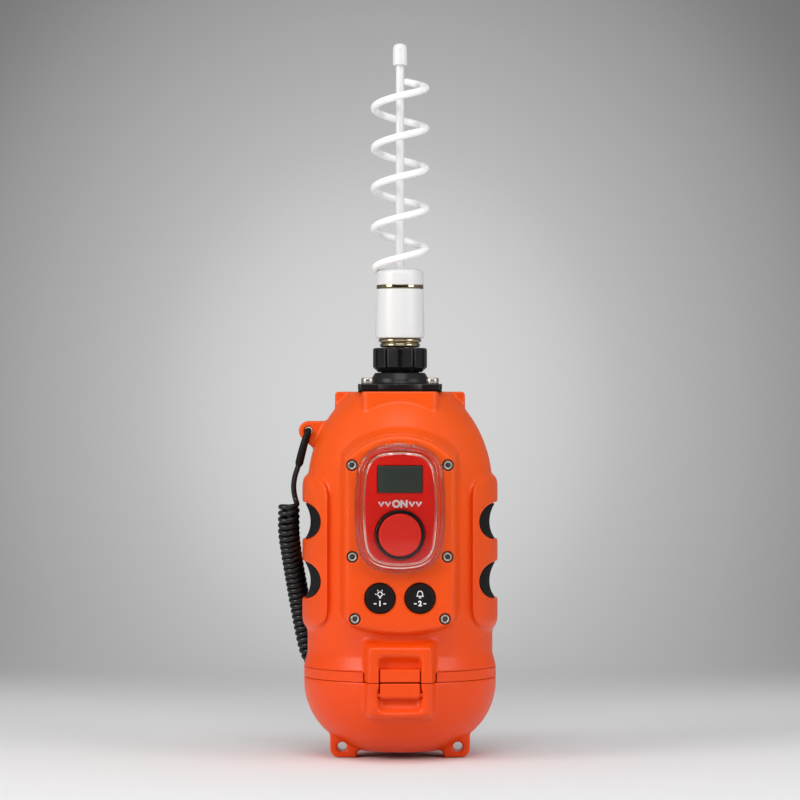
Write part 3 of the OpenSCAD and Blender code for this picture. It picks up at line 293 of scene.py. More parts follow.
def relax(mesh, passes, soft):
    """Softens a mesh. In each pass every point moves towards the mean of its neighbours by a
    share that soft(points) gives, so that edges round off by about the cell size times the
    root of share times passes."""
    co = points_of(mesh)
    n = len(co)
    e = np.empty(len(mesh.edges) * 2, np.int32)
    mesh.edges.foreach_get("vertices", e)
    a, b = e.reshape(-1, 2).T
    count = np.maximum(np.bincount(e, minlength=n), 1)
    share = np.clip(soft(co * 1000), 0, 0.6)[:, None]
    for _ in range(passes):
        total = [np.bincount(a, co[b, k], n) + np.bincount(b, co[a, k], n) for k in range(3)]
        co += share * (np.stack(total, 1) / count[:, None] - co)
    mesh.vertices.foreach_set("co", co.ravel())
    mesh.update()


def held(v):
    """v kept between 0 and 1."""
    return np.clip(v, 0, 1)


def between(v, a, b, c, d):
    """A value that rises from 0 at a to 1 at b, and falls from 1 at c to 0 at d."""
    return held((v - a) / (b - a)) * held((d - v) / (d - c))


def housing_soft(p):
    """Share of softening on the housing: most on the latch frame and the grips' edges, least
    by the joint, the hinge and the rims of the finger notches."""
    x, y, z = p.T
    r = np.hypot(x, y)
    frame = between(z, 50.5, 53, 90, 91) * held((-46 - y) / 2) * held((27 - np.abs(x)) / 2)
    grip = between(z, 66, 69, 156, 160) * held((r - 50.2) / 0.4) * held((44 - np.abs(y)) / 4)
    notch = sum(np.exp(-(((np.hypot(np.abs(x) - a, z - b) - 10) / 1.6) ** 2)) for a, b in NOTCHES)
    deck = between(z, 176, 180, 198.6, 199.6)
    grip *= 1 - 0.8 * held(notch)
    out = np.maximum.reduce([np.full(len(p), 0.07), 0.42 * frame, 0.45 * grip, 0.12 * deck])
    return out * np.clip((z - 49.6) / 1.6, 0.12, 1)


def case_soft(p):
    """Share of softening on the battery case: most on the lower part of the latch frame."""
    x, y, z = p.T
    frame = between(z, 10, 12, 39.5, 42) * held((-42 - y) / 2) * held((27 - np.abs(x)) / 2)
    foot = between(z, -1, 0.0, 14, 20) * between(np.abs(x), 20, 22, 45, 46)
    out = np.maximum.reduce([np.full(len(p), 0.07), 0.55 * frame, 0.10 * foot])
    return out * np.clip((43.4 - z) / 1.6, 0.12, 1)


def panel_soft(p):
    """Share of softening on the control panel: most along its outline, least at the screws
    and round the openings."""
    x, _, z = p.T
    arch = np.hypot(x, np.maximum(z - 138.2, 0))
    edge = held((np.maximum(np.abs(x) - 25.6, arch - 34.6)) / 2)
    edge = np.maximum(edge, held((77.5 - z) / 2))
    hole = np.zeros(len(p))
    for a, b in PANEL_SCREWS:
        hole = np.maximum(hole, held((4.3 - np.hypot(np.abs(x) - a, z - b)) / 0.8))
    return np.maximum(0.05, 0.40 * edge * (1 - hole))


def even_soft(share):
    """The same share everywhere."""
    return lambda p: np.full(len(p), share)


def moulded_copy(name, node, cell, passes, soft, most, finish, body):
    """A copy of a node with the soft edges of a moulding: its points are merged, it is cut
    into even cells, relaxed, and thinned to the given number of triangles."""
    raw = linked(name + "_raw", tidy_mesh(NODES[node].data.copy(), 1e-6, False))
    mod = raw.modifiers.new("cells", "REMESH")
    mod.mode = "VOXEL"
    mod.voxel_size = cell * 1.0
    mesh = baked(raw, name + "_cells")
    relax(mesh, max(1, passes // (1)), soft)
    raw = linked(name + "_raw", mesh)
    mod = raw.modifiers.new("thin", "DECIMATE")
    mod.ratio = min(1.0, most / max(1, len(mesh.polygons) * 2))
    place(name, baked(raw, name), body, finish, node)


def baked(obj, name):
    """The object's form as a mesh, with its modifiers applied; the object is removed."""
    graph = bpy.context.evaluated_depsgraph_get()
    mesh = bpy.data.meshes.new_from_object(obj.evaluated_get(graph))
    bpy.data.batch_remove((obj, obj.data))
    mesh.name = name
    return mesh


# ---- finishes


def add(tree, kind, wires=(), **values):
    """The outputs of a new node with its settings and values. A wire that is a socket is linked
    to its input, and any other is that input's value."""
    n = tree.nodes.new("ShaderNode" + kind)
    for k, v in values.items():
        if hasattr(n, k):
            setattr(n, k, v)
        else:
            n.inputs[k.replace("_", " ")].default_value = v
    for k, v in dict(wires).items():
        if isinstance(v, bpy.types.NodeSocket):
            tree.links.new(v, n.inputs[k])
        else:
            n.inputs[k].default_value = v
    return n.outputs


def calc(tree, operation, *terms):
    """One step of arithmetic, on sockets or numbers."""
    return add(tree, "Math", dict(enumerate(terms)), operation=operation)[0]


def spread(tree, value, start, end, low=0.0, high=1.0, **values):
    """A value carried from the span start to end over to the span low to high."""
    return add(tree, "MapRange", {0: value, 1: start, 2: end, 3: low, 4: high}, **values)[0]


def noise(tree, at, scale, detail, rough=0.5):
    """The value of a noise at a point."""
    return add(tree, "TexNoise", {"Vector": at, "Scale": scale}, Detail=detail, Roughness=rough)[0]


def surface_group(name, inputs, rest):
    """A node group that takes the given inputs and puts out a colour, a roughness and a
    normal, which rest(group, inputs) works out. It is built once."""
    g = bpy.data.node_groups.get(name)
    if g:
        return g
    g = bpy.data.node_groups.new(name, "ShaderNodeTree")
    for label, value in inputs.items():
        kind = "NodeSocketColor" if label == "Colour" else "NodeSocketFloat"
        g.interface.new_socket(name=label, in_out="INPUT", socket_type=kind).default_value = value
    for label, kind in (("Colour", "Color"), ("Roughness", "Float"), ("Normal", "Vector")):
        g.interface.new_socket(name=label, in_out="OUTPUT", socket_type="NodeSocket" + kind)
    last = g.nodes.new("NodeGroupOutput")
    for socket, end in zip(rest(g, g.nodes.new("NodeGroupInput").outputs), last.inputs):
        g.links.new(socket, end)
    return g


def moulded_plastic(g, given):
    """Moulded plastic: a fine eggshell grain, slow mottling of the colour, and a painted shade
    whose hue turns redder towards the foot, where the lower front takes less light."""
    at = add(g, "TexCoord")["Object"]
    grain = noise(g, at, given["Grain Size"], 2.0, 0.6)
    bump = add(g, "Bump", {"Strength": given["Grain Depth"], "Height": grain}, Distance=0.0002)[0]
    mottle = spread(g, noise(g, at, 38.0, 4.0, 0.62), 0.3, 0.7, -1.0, 1.0)
    value = calc(g, "MULTIPLY_ADD", mottle, given["Mottle"], 1.0)
    # painted shade: the hue shifts redder towards the foot, standing in for the less lit lower front
    low = spread(g, add(g, "SeparateXYZ", {0: at})[2], 0.045, 0.16, -1.0, 0.0)
    hue = calc(g, "MULTIPLY_ADD", low, given["Painted Low Shade"], 0.5)
    colour = add(g, "HueSaturation", {"Hue": hue, "Value": value, "Color": given["Colour"]})[0]
    gloss = spread(g, noise(g, at, 420.0, 3.0), 0.25, 0.75, -0.05, 0.05)
    return colour, calc(g, "ADD", gloss, given["Roughness"]), bump


def turned_metal(g, given):
    """Turned metal: fine rings round the Z axis, that break up with a noise, and faint
    tarnish."""
    at = add(g, "TexCoord")["Object"]
    squeeze = add(g, "VectorMath", {0: at, 1: (0.02, 0.02, 1.0)}, operation="MULTIPLY")[0]
    rings = noise(g, squeeze, given["Ring Pitch"], 2.0)
    bump = add(g, "Bump", {"Strength": given["Ring Depth"], "Height": rings}, Distance=0.0001)[0]
    spots = spread(g, noise(g, at, 240.0, 4.0, 0.7), 0.45, 0.75)
    amount = calc(g, "MULTIPLY", spots, given["Tarnish"])
    brown = (0.12, 0.09, 0.05, 1)
    colour = add(g, "Mix", {0: amount, 6: given["Colour"], 7: brown}, data_type="RGBA")[2]
    rough = calc(g, "MULTIPLY_ADD", amount, 0.5, given["Roughness"])
    return colour, rough, bump


PLASTIC_INPUTS = {
    "Colour": (0.8, 0.2, 0.05, 1), "Mottle": 0.06, "Roughness": 0.45, "Grain Size": 2600.0,
    "Grain Depth": 0.12, "Painted Low Shade": 0.0,
}
METAL_INPUTS = {
    "Colour": (0.8, 0.7, 0.5, 1), "Tarnish": 0.2, "Roughness": 0.2, "Ring Pitch": 3000.0,
    "Ring Depth": 0.1,
}


def grouped_material(name, group, values, **shader):
    """A material whose colour, roughness and normal come from a shared group."""
    m = bpy.data.materials.get("beacon_" + name)
    if m:
        return m
    m = bpy.data.materials.new("beacon_" + name)
    m.use_nodes = True
    t = m.node_tree
    bsdf = t.nodes["Principled BSDF"]
    n = t.nodes.new("ShaderNodeGroup")
    n.node_tree = group
    for k, v in values.items():
        n.inputs[k].default_value = v
    for label, k in (("Colour", "Base Color"), ("Roughness", "Roughness"), ("Normal", "Normal")):
        t.links.new(n.outputs[label], bsdf.inputs[k])
    for k, v in shader.items():
        bsdf.inputs[k.replace("_", " ")].default_value = v
    m.diffuse_color = values["Colour"]
    return m


def plastic(name, colour, rough, mottle=0.05, grain=0.1, size=2600.0, painted_low_shade=0.0, spec=0.5, **shader):
    group = surface_group("Moulded Plastic", PLASTIC_INPUTS, moulded_plastic)
    given = dict(zip(PLASTIC_INPUTS, ((*colour, 1), mottle, rough, size, grain, painted_low_shade)))
    return grouped_material(name, group, given, Specular_IOR_Level=spec, **shader)


def metal(name, colour, rough, tarnish=0.15):
    group = surface_group("Turned Metal", METAL_INPUTS, turned_metal)
    given = dict(zip(METAL_INPUTS, ((*colour, 1), tarnish, rough, 3000.0, 0.08)))
    return grouped_material(name, group, given, Metallic=1.0)


def finishes():
    """All the finishes by name."""
    s = bpy.context.scene.beacon_colours
    return {
        # the shell's painted low shade turns its hue redder towards the foot
        "shell": plastic("shell_orange", s.shell, 0.36, 0.035, 0.09, painted_low_shade=0.004, spec=0.3),
        "fascia": plastic("fascia_red", s.fascia, 0.38, 0.03, 0.08, spec=0.25),
        "button": plastic("button_red", s.button, 0.5, 0.04, 0.10, spec=0.25),
        "black": plastic("black_plastic", (0.005, 0.005, 0.0055), 0.32, 0.15, 0.12, spec=0.35),
        "rubber": plastic("black_rubber", (0.006, 0.005, 0.005), 0.5, 0.2, 0.25, 1800.0, spec=0.15),
        "key": plastic("key_rubber", (0.007, 0.005, 0.006), 0.42, 0.15, 0.12, spec=0.18),
        "white": plastic("white_plastic", (0.74, 0.74, 0.735), 0.34, 0.012, 0.05),
        # the helix and the sleeve are the same white plastic, painted lighter on the helix and darker on
        # the sleeve for the light that falls on each: painted light and shade
        "helix": plastic("white_painted_lighter", (0.94, 0.94, 0.935), 0.34, 0.012, 0.05),
        "sleeve": plastic("white_painted_darker", (0.72, 0.72, 0.715), 0.34, 0.012, 0.05),
        "display": plastic("display_glass", (0.052, 0.068, 0.056), 0.12, 0.05, 0.0, spec=0.3),
        "print": plastic("white_print", (0.85, 0.85, 0.84), 0.5, 0.05, 0.05),
        "board": plastic("circuit_green", (0.02, 0.12, 0.05), 0.4),
        "cell": plastic("cell_wrap", (0.03, 0.09, 0.28), 0.3),
        "steel": metal("steel", (0.52, 0.485, 0.44), 0.30),
        "brass": metal("brass", (0.78, 0.60, 0.32), 0.22),
        "nickel": metal("pale_brass", (0.46, 0.39, 0.26), 0.10, 0.1),
        "socket": plastic("socket_shadow", (0.035, 0.028, 0.022), 0.5, 0.3, 0.3),
        "cord": plastic("cord_black", (0.008, 0.0075, 0.0075), 0.30, 0.2, 0.12, 2200.0, spec=0.35),
        "clear": plastic("clear_plastic", (1, 0.97, 0.97), 0.03, 0, 0, IOR=1.42, Transmission_Weight=1),
    }


# ---- settings


class BeaconColours(bpy.types.PropertyGroup):
    """Colours of the mouldings."""

    shell: FloatVectorProperty(
        name="Shell", description="Orange of the housing", default=(0.82, 0.084, 0.002),
        size=3, subtype="COLOR")
    fascia: FloatVectorProperty(
        name="Fascia", description="Red under the cover", default=(0.86, 0.009, 0.001),
        size=3, subtype="COLOR")
    button: FloatVectorProperty(
        name="Button", description="Red of the big button", default=(0.97, 0.030, 0.014),
        size=3, subtype="COLOR")


class BeaconSizes(bpy.types.PropertyGroup):
    """Sizes of the fine detail."""

    cord_d: FloatProperty(
        name="Cord", description="Diameter of the tether cord", default=0.0030, unit="LENGTH")
    coil_r: FloatProperty(
        name="Coil Radius", description="Coil's middle to cord's middle", default=0.005, unit="LENGTH")
    coil_pitch: FloatProperty(
        name="Coil Pitch", description="Rise of one turn of the coil", default=0.00335, unit="LENGTH")
    print_t: FloatProperty(
        name="Print", description="Thickness of the white marks", default=0.00008, unit="LENGTH")
    cell: FloatProperty(
        name="Cell", description="Cell size of the softened mouldings", default=0.0006, unit="LENGTH")


# ---- pieces


class BEACON_OT_stage(bpy.types.Operator):
    """Camera, lamps, world, and a floor that curves up into a backdrop"""

    bl_idname = "beacon.stage"
    bl_label = "Stage"

    def execute(self, context):
        scene = context.scene
        cam = bpy.data.cameras.new("camera")
        cam.lens = 157.5
        cam.sensor_width = 36
        cam.clip_end = 20
        eye = linked("camera", cam)
        eye.location = (0, -1.925, 0.1954)
        eye.rotation_euler = (TAU / 4, 0, 0)
        scene.camera = eye
        scene.view_settings.view_transform = "Standard"
        self.backdrop()
        lamps = (
            ("key", (-1.35, -0.95, 0.72), (0, 0, 0.13), 0.8, 15.5, (1.0, 0.985, 0.96)),
            ("fill", (1.35, -0.90, 0.66), (0, 0, 0.13), 0.8, 9.5, (0.97, 0.985, 1.0)),
            ("top", (0.0, -1.00, 1.34), (0, 0, 0.15), 1.0, 9.8, (1, 1, 1)),
        )
        for name, at, to, size, power, colour in lamps:
            lamp = bpy.data.lights.new(name, "AREA")
            lamp.shape = "SQUARE"
            lamp.size = size
            lamp.energy = power
            lamp.color = colour
            obj = linked(name, lamp)
            obj.location = at
            x, y, z = np.array(at, float) - np.array(to, float)
            obj.rotation_euler = (math.atan2(math.hypot(x, y), z), 0, math.atan2(x, -y))
        world = scene.world or bpy.data.worlds.new("world")
        scene.world = world
        world.use_nodes = True
        self.room(world.node_tree)
        return {"FINISHED"}

    def room(self, t):
        """The room around: pale overhead, grey at the sides, and dark behind the camera. The
        level follows the height of a direction, and falls where it points to the front."""
        back = t.nodes["Background"]
        _, y, z = add(t, "SeparateXYZ", {0: add(t, "TexCoord")["Generated"]})
        up, front = spread(t, z, -0.2, 0.7, 0.15, 0.58), spread(t, y, -0.95, -0.35, 0.12)
        t.links.new(calc(t, "MULTIPLY", up, front), back.inputs[1])
        back.inputs[0].default_value = (0.97, 0.98, 1.0, 1)

    def backdrop(self):
        """The sheet is flat from the camera to a bend, follows a quarter circle there, and goes
        straight up: a point is (x, path(s))."""
        bend, rise = 0.62, 0.30
        a = np.radians(np.linspace(0, 90, 25))
        y = np.concatenate([[-3.0, -1.0, 0.0], bend + rise * np.sin(a), [bend + rise] * 3])
        z = np.concatenate([[0.0, 0.0, 0.0], rise * (1 - np.cos(a)), [0.6, 1.6, 3.0]])
        x = np.linspace(-2.6, 2.6, 3)
        pts = np.stack(np.broadcast_arrays(x[:, None], y[None], z[None] - 0.0001), -1)
        mesh = sheet("backdrop", pts, close_u=False, caps=False)
        obj = linked("backdrop", mesh)
        mesh.shade_smooth()
        mesh.materials.append(self.sweep_material())

    def sweep_material(self):
        """Grey paper: the floor takes light and shadow, over a colour painted darker towards the
        bend; the upright part shows a painted glow to the camera, that falls off with the distance from
        its middle."""
        m = bpy.data.materials.new("backdrop_grey")
        m.use_nodes = True
        t = m.node_tree
        t.nodes.remove(t.nodes["Principled BSDF"])
        x, y, z = add(t, "SeparateXYZ", {0: add(t, "TexCoord")["Object"]})

        def ramp(value, stops):
            out = add(t, "ValToRGB", {0: value})[0]
            out.node.color_ramp.interpolation = "B_SPLINE"
            e = out.node.color_ramp.elements
            while len(e) < len(stops):
                e.new(0.5)
            for k, (pos, level) in zip(e, stops):
                k.position = pos
                k.color = (level, level, level * 1.005, 1)
            return out

        # the upright part glows round a point behind the object: a painted pool of light
        dx = calc(t, "MULTIPLY", calc(t, "ADD", x, 0.012), 2.17)
        dz = calc(t, "MULTIPLY", calc(t, "SUBTRACT", z, 0.19), 1.96)
        squares = [calc(t, "MULTIPLY", d, d) for d in (dx, dz)]
        far = calc(t, "SQRT", calc(t, "ADD", *squares))
        glow = ramp(far, [(0.0, 0.66), (0.15, 0.66), (0.28, 0.615), (0.42, 0.49), (0.62, 0.37),
                          (0.75, 0.315), (0.88, 0.215), (1.0, 0.17)])
        wall = add(t, "Emission", {0: glow})[0]
        # the floor takes the light, and its colour is painted darker towards the bend: painted shade
        near = calc(t, "MULTIPLY_ADD", y, 0.5, 0.5)
        painted_floor_shade = ramp(near, [(0.0, 0.815), (0.38, 0.815), (0.55, 0.785), (0.70, 0.67), (0.85, 0.52),
                            (1.0, 0.42)])
        floor = add(t, "BsdfDiffuse", {0: painted_floor_shade})[0]
        # the two blend along the bend, and only what the camera sees or a gloss mirrors glows
        edge = spread(t, y, 0.30, 0.78, interpolation_type="SMOOTHSTEP")
        path = add(t, "LightPath")
        seen = calc(t, "MAXIMUM", path["Is Camera Ray"], path["Is Glossy Ray"])
        seen = calc(t, "MAXIMUM", seen, path["Is Transmission Ray"])
        both = add(t, "MixShader", {0: calc(t, "MULTIPLY", seen, edge), 1: floor, 2: wall})[0]
        # seen from behind, the sheet is clear
        back, clear = add(t, "NewGeometry")["Backfacing"], add(t, "BsdfTransparent")[0]
        last = add(t, "MixShader", {0: back, 1: both, 2: clear})[0]
        t.links.new(last, t.nodes["Material Output"].inputs[0])
        return m


# where the tether runs
EXIT_RUN = np.array([(-50.3, -4.3, 178.5), (-50.9, -4.9, 176.4), (-52.2, -5.1, 172.6), (-54, -4.2, 166),
                     (-55.6, -2.8, 159.6)]) / 1000
LEAD_RUN = np.array([(-55.6, -2.8, 159.6), (-57, -1.8, 156.2), (-58.3, 0, 151), (-58.6, 1.8, 146.4),
                     (-58, 3.2, 142.4), (-57.2, 2.4, 139.4)]) / 1000
COIL_RUN = np.array([(-61, 0, 138), (-61.2, 1.4, 130.6), (-61.2, 5, 121.6), (-60.2, 10.4, 112),
                     (-58.8, 15.6, 102), (-57.2, 20.2, 92), (-55.6, 24, 82), (-54, 27.4, 72),
                     (-52.2, 30.8, 62.6), (-50, 34.4, 54.6), (-46.6, 39, 49), (-42.6, 43.6, 47.4)]) / 1000
TAIL_RUN = np.array([(-42.6, 43.6, 47.4), (-39.4, 47.2, 48), (-37.2, 50.6, 51), (-37, 52, 55.4),
                     (-38, 51.2, 59.4), (-40, 48.6, 61)]) / 1000


class BEACON_OT_tether(bpy.types.Operator):
    """The coiled tether, with its moulded sleeve and its end ferrule"""

    bl_idname = "beacon.tether"
    bl_label = "Tether"

    def execute(self, context):
        s = context.scene.beacon_sizes
        path = self.course(s)
        rope = tube_mesh("tether_cord", path, s.cord_d / 2, 14)
        nodes = ("tether_lead", "tether_coil", "tether_tail")
        rope = place("tether_cord", rope, "housing", "cord", *nodes)
        boot = place("tether_boot", self.boot(), "housing", "rubber", "tether_sleeve")
        ferrule = place("tether_ferrule", self.ferrule(), "housing", "steel", "tether_crimp")
        return {"FINISHED"}

    def course(self, s):
        """The cord's middle line. On the coiled stretch it is run(t) + r(t)(cos(a) n + sin(a) b),
        where a grows with the distance along the run by a full turn per pitch, and r is the
        coil's radius, which shrinks to nothing over the last turn."""
        core = even_path(smooth_path(COIL_RUN, 60), 0.00010)
        d = along(core)
        t = unit(np.gradient(core, axis=0))
        n = unit(np.cross(t, (0.0, 1.0, 0.0)))
        b = np.cross(t, n)
        slow = 1 + 0.03 * np.sin(d / 0.011) + 0.015 * np.sin(d / 0.0043)
        a = TAU * np.cumsum(np.gradient(d) / (s.coil_pitch * slow))
        grow = np.clip((d[-1] - d) / (s.coil_pitch * 1.1), 0, 1)
        grow = grow * grow * (3 - 2 * grow)
        r = (s.coil_r * (1 + 0.02 * np.sin(d / 0.007)) * grow)[:, None]
        coil = core + r * (np.cos(a)[:, None] * n + np.sin(a)[:, None] * b)
        lead = even_path(smooth_path(np.concatenate([EXIT_RUN, LEAD_RUN[1:], coil[:1]]), 20), 0.0008)
        tail = even_path(smooth_path(TAIL_RUN, 20), 0.0008)
        full = np.concatenate([lead[:-1], coil, tail[1:]])
        k = np.ones(9) / 9
        pad = np.pad(full, ((4, 4), (0, 0)), mode="edge")
        eased = np.stack([np.convolve(pad[:, i], k, "valid") for i in range(3)], 1)
        return even_path(eased, 0.00062)

    def boot(self):
        """The boot over the cord's first stretch: a tube whose radius swells and steps, and the
        round plug that holds it in the eye."""
        path = even_path(smooth_path(EXIT_RUN, 16), 0.0003)
        u = np.linspace(0, 1, len(path))
        r = np.interp(u, [0, 0.1, 0.25, 0.55, 0.93, 1.0], [1.75, 1.9, 2.0, 2.2, 2.25, 1.85]) / 1000
        boot = tube_mesh("tether_boot", path, r, 20, round_ends=False)
        prof = [(AXIS, -0.004), (0.0019, -0.004), (0.0019, 0.0045), (AXIS, 0.0048)]
        prof = rounded(prof, [0, 0.0004, 0.0012, 0], 7)
        return [boot, turned("plug", prof, (-0.0505, 0, 0.1782), "Y", 40)]

    def ferrule(self):
        """The end ferrule: a collar turned about Y with two rolled grooves."""
        r, half, _ = (highs("tether_crimp") - lows("tether_crimp")) / 2
        h = np.linspace(-half, half, 41)
        for groove in (-0.0009, 0.0009):
            r = r - 0.00035 * np.exp(-(((h - groove) / 0.0004) ** 2))
        r[[0, -1]] -= 0.0003
        return turned("tether_ferrule", np.stack([r, h * 0.999], 1), middle("tether_crimp"), "Y", 48)


class BEACON_OT_shells(bpy.types.Operator):
    """Housing, battery case, control panel, fascia, grips, antenna base and latch lever: the
    CAD forms with the soft edges of a moulding"""

    bl_idname = "beacon.shells"
    bl_label = "Mouldings"

    def execute(self, context):
        cell = context.scene.beacon_sizes.cell
        rows = (
            ("housing_shell", "main_housing", 1.0, 40, housing_soft, 195000, "shell", "housing"),
            ("case_shell", "bottom_case", 1.0, 60, case_soft, 170000, "shell", "battery_case"),
            ("panel_shell", "front_panel", 0.7, 50, panel_soft, 170000, "shell", "housing"),
            ("fascia_plate", "control_fascia", 0.7, 6, even_soft(0.3), 70000, "fascia", "housing"),
            ("left_grip", "grip_left", 0.9, 6, even_soft(0.3), 50000, "rubber", "housing"),
            ("right_grip", "grip_right", 0.9, 6, even_soft(0.3), 50000, "rubber", "housing"),
            ("antenna_foot", "antenna_base", 0.6, 6, even_soft(0.4), 70000, "black", "housing"),
            ("lever", "latch_lever", 0.45, 12, even_soft(0.5), 20000, "shell", "latch"),
            ("catch", "latch_keeper", 0.45, 12, even_soft(0.5), 20000, "shell", "housing"),
        )
        for name, node, scale, *rest in rows:
            moulded_copy(name, node, cell * scale, *rest)
        return {"FINISHED"}


def block(name, lo, hi):
    """A box from its two far corners."""
    (x0, y0, z0), (x1, y1, z1) = lo, hi
    ring = [(x0, y0), (x1, y0), (x1, y1), (x0, y1)]
    return tidy_mesh(sheet(name, np.array([[(x, y, z0), (x, y, z1)] for x, y in ring])))


def cut(name, mesh, tools):
    """The mesh less each of the tools."""
    obj = linked(name + "_raw", mesh)
    tools = [linked(name + "_tool", m) for m in tools]
    for tool in tools:
        mod = obj.modifiers.new("cut", "BOOLEAN")
        mod.operation = "DIFFERENCE"
        mod.solver = "EXACT"
        mod.object = tool
    out = baked(obj, name)
    bpy.data.batch_remove([t.data for t in tools] + tools)
    return out


class BEACON_OT_cover(bpy.types.Operator):
    """The clear cover over the fascia: a stepped rim and a flat front, with slots for its hinge"""

    bl_idname = "beacon.cover"
    bl_label = "Clear Cover"

    def execute(self, context):
        lo, hi = ends("clear_cover")
        half_w, _, half_h = (hi - lo) / 2
        mesh = self.loft(self.section(-hi[1], -lo[1]), (lo[2] + hi[2]) / 2, half_w, half_h)
        _, y, z = middle("cover_pin")
        ear = highs("cover_hinge")[0]
        tools = [tube_mesh("bore", [(x, y, z) for x in (-0.008, 0, 0.008)], 0.00086, 32, False)]
        for k in (-1, 1):
            a, b = sorted((k * (ear - 0.00205), k * (ear + 0.00025)))
            tools.append(block("slot", (a, y - 0.0018, z - 0.0022), (b, y + 0.008, z + 0.006)))
        tools.append(block("relief", (-0.02, y + 0.00075, z + 0.00075), (0.02, y + 0.004, z + 0.005)))
        mesh = cut("window", mesh, tools)
        place("window", mesh, "cover", "clear", "clear_cover")
        sharpen(mesh, 35)
        return {"FINISHED"}

    def section(self, back, front):
        """The cover's section as (inset from the outline, distance to the front): the inner
        face, the inner wall, the rim's back, the outer wall, its step and the front face."""
        mm = 0.001
        b, f = back / mm, front / mm
        pts = [(7.5, f - 1.8), (5.2, f - 1.8), (5.2, b + 3.0), (4.0, b + 3.0), (4.0, b), (0, b),
               (0.8, b + 4.6), (1.9, b + 5.0), (2.9, f), (7.5, f)]
        return rounded(pts, [0, 1.5, 0.5, 0.4, 0.2, 0.2, 0.7, 0.5, 2.0, 0], 9) * mm

    def loft(self, prof, z, hw, hh):
        """The outline has a side arc, a corner arc and a top arc in each quarter. A point is
        centre + (radius - inset) n, where n is the unit normal and each arc keeps its centre."""
        r1, r2, r3 = 0.143, 0.017, 0.050
        c1, c3 = hw - r1, hh - r3
        d = math.hypot(c1, c3)
        along = ((r1 - r2) ** 2 - (r3 - r2) ** 2 + d * d) / (2 * d)
        off = math.sqrt((r1 - r2) ** 2 - along**2)
        px, pz = c1 - along * c1 / d - off * c3 / d, along * c3 / d - off * c1 / d
        a1, a2 = math.atan2(pz, px - c1), math.atan2(pz - c3, px)
        q = np.concatenate([np.linspace(0, a1, 25)[:-1], np.linspace(a1, a2, 33)[:-1],
                            np.linspace(a2, TAU / 4, 15)])
        half = np.concatenate([q, (TAU / 2 - q[1:-1])[::-1]])
        a = np.concatenate([half, half + TAU / 2])
        f = np.arctan2(np.abs(np.sin(a)), np.abs(np.cos(a)))
        cx = np.select([f < a1, f < a2], [c1, px], 0.0) * np.sign(np.cos(a))
        cz = np.select([f < a1, f < a2], [0.0, pz], c3) * np.sign(np.sin(a))
        rad = np.select([f < a1, f < a2], [r1, r2], r3)
        r = rad[:, None] - prof[:, 0][None]
        x = cx[:, None] + r * np.cos(a)[:, None]
        h = cz[:, None] + r * np.sin(a)[:, None] + z
        y = np.broadcast_to(-prof[:, 1][None], x.shape)
        return tidy_mesh(sheet("window", np.stack([x, y, h], -1)))


class BEACON_OT_buttons(bpy.types.Operator):
    """The big button in its dark ring, and the two round rubber keys"""

    bl_idname = "beacon.buttons"
    bl_label = "Buttons"

    def execute(self, context):
        r, face, back = facing("activate_button")
        mid = (0, 0, middle("activate_button")[2])
        stem, cap_back = 0.004, face - 0.0055
        prof = rounded(
            [(AXIS, back), (stem, back), (stem, cap_back), (r, cap_back), (r, face - 0.0001),
             (0.6 * r, face), (AXIS, face + 0.00002)],
            [0, 0.0004, 0.0004, 0.0003, 0.0011, 0.002, 0], 9)
        mesh = turned("big_button", prof, mid, "Y", 160)
        place("big_button", mesh, "activate", "button", "activate_button")
        foot, face, back = facing("activate_ring")
        rim, flange, out, bore = r + 0.0003, back + 0.0016, 0.0131, 0.0043
        prof = rounded(
            [(rim, flange), (rim, face), (out, face), (out, flange), (foot, flange), (foot, back),
             (bore, back), (bore, flange), (rim, flange)],
            [0, 0.0004, 0.0007, 0, 0.0002, 0.0002, 0.0001, 0.0001, 0], 7)[:-1]
        ring = turned("button_ring", prof, mid, "Y", 160, True)
        place("button_ring", ring, "housing", "black", "activate_ring")
        for node, body in (("test_button", "test"), ("mute_button", "mute")):
            x, _, z = middle(node)
            out, face, back = facing(node)
            r, stem, step = out - 0.001, 0.0024, back + (face - back) * 0.62
            prof = rounded(
                [(AXIS, back), (stem, back), (stem, step - 0.001), (out, step - 0.001), (out, step),
                 (r, step), (r, face - 0.00005), (r - 0.0016, face - 0.0001), (AXIS, face)],
                [0, 0.0003, 0.0002, 0.0002, 0.0002, 0.0002, 0.0007, 0.0008, 0], 7)
            key = turned(node, prof, (x, 0, z), "Y", 128)
            place(node.replace("button", "key"), key, body, "key", node)
        return {"FINISHED"}


def hexagon(count, turn):
    """Angles round a circle from the given turn, and the radius of a hexagon there as a share
    of its widest: cos 30 over cos of the angle to the middle of the nearest flat."""
    a = np.arange(count) * TAU / count + math.radians(turn)
    return a[:, None], (np.cos(TAU / 12) / np.cos((a % (TAU / 6)) - TAU / 12))[:, None]


def socketed(name, rows, at, axis, count, turn):
    """A surface from rows of (radius, height, 1 where the ring is a hexagon and 0 where it is
    round), carried round an axis."""
    r, h, k = np.array(rows).T[:, None]
    a, flat = hexagon(count, turn)
    return tidy_mesh(sheet(name, on_axis(r * np.where(k > 0, flat, 1), h, a, axis) + np.array(at)))


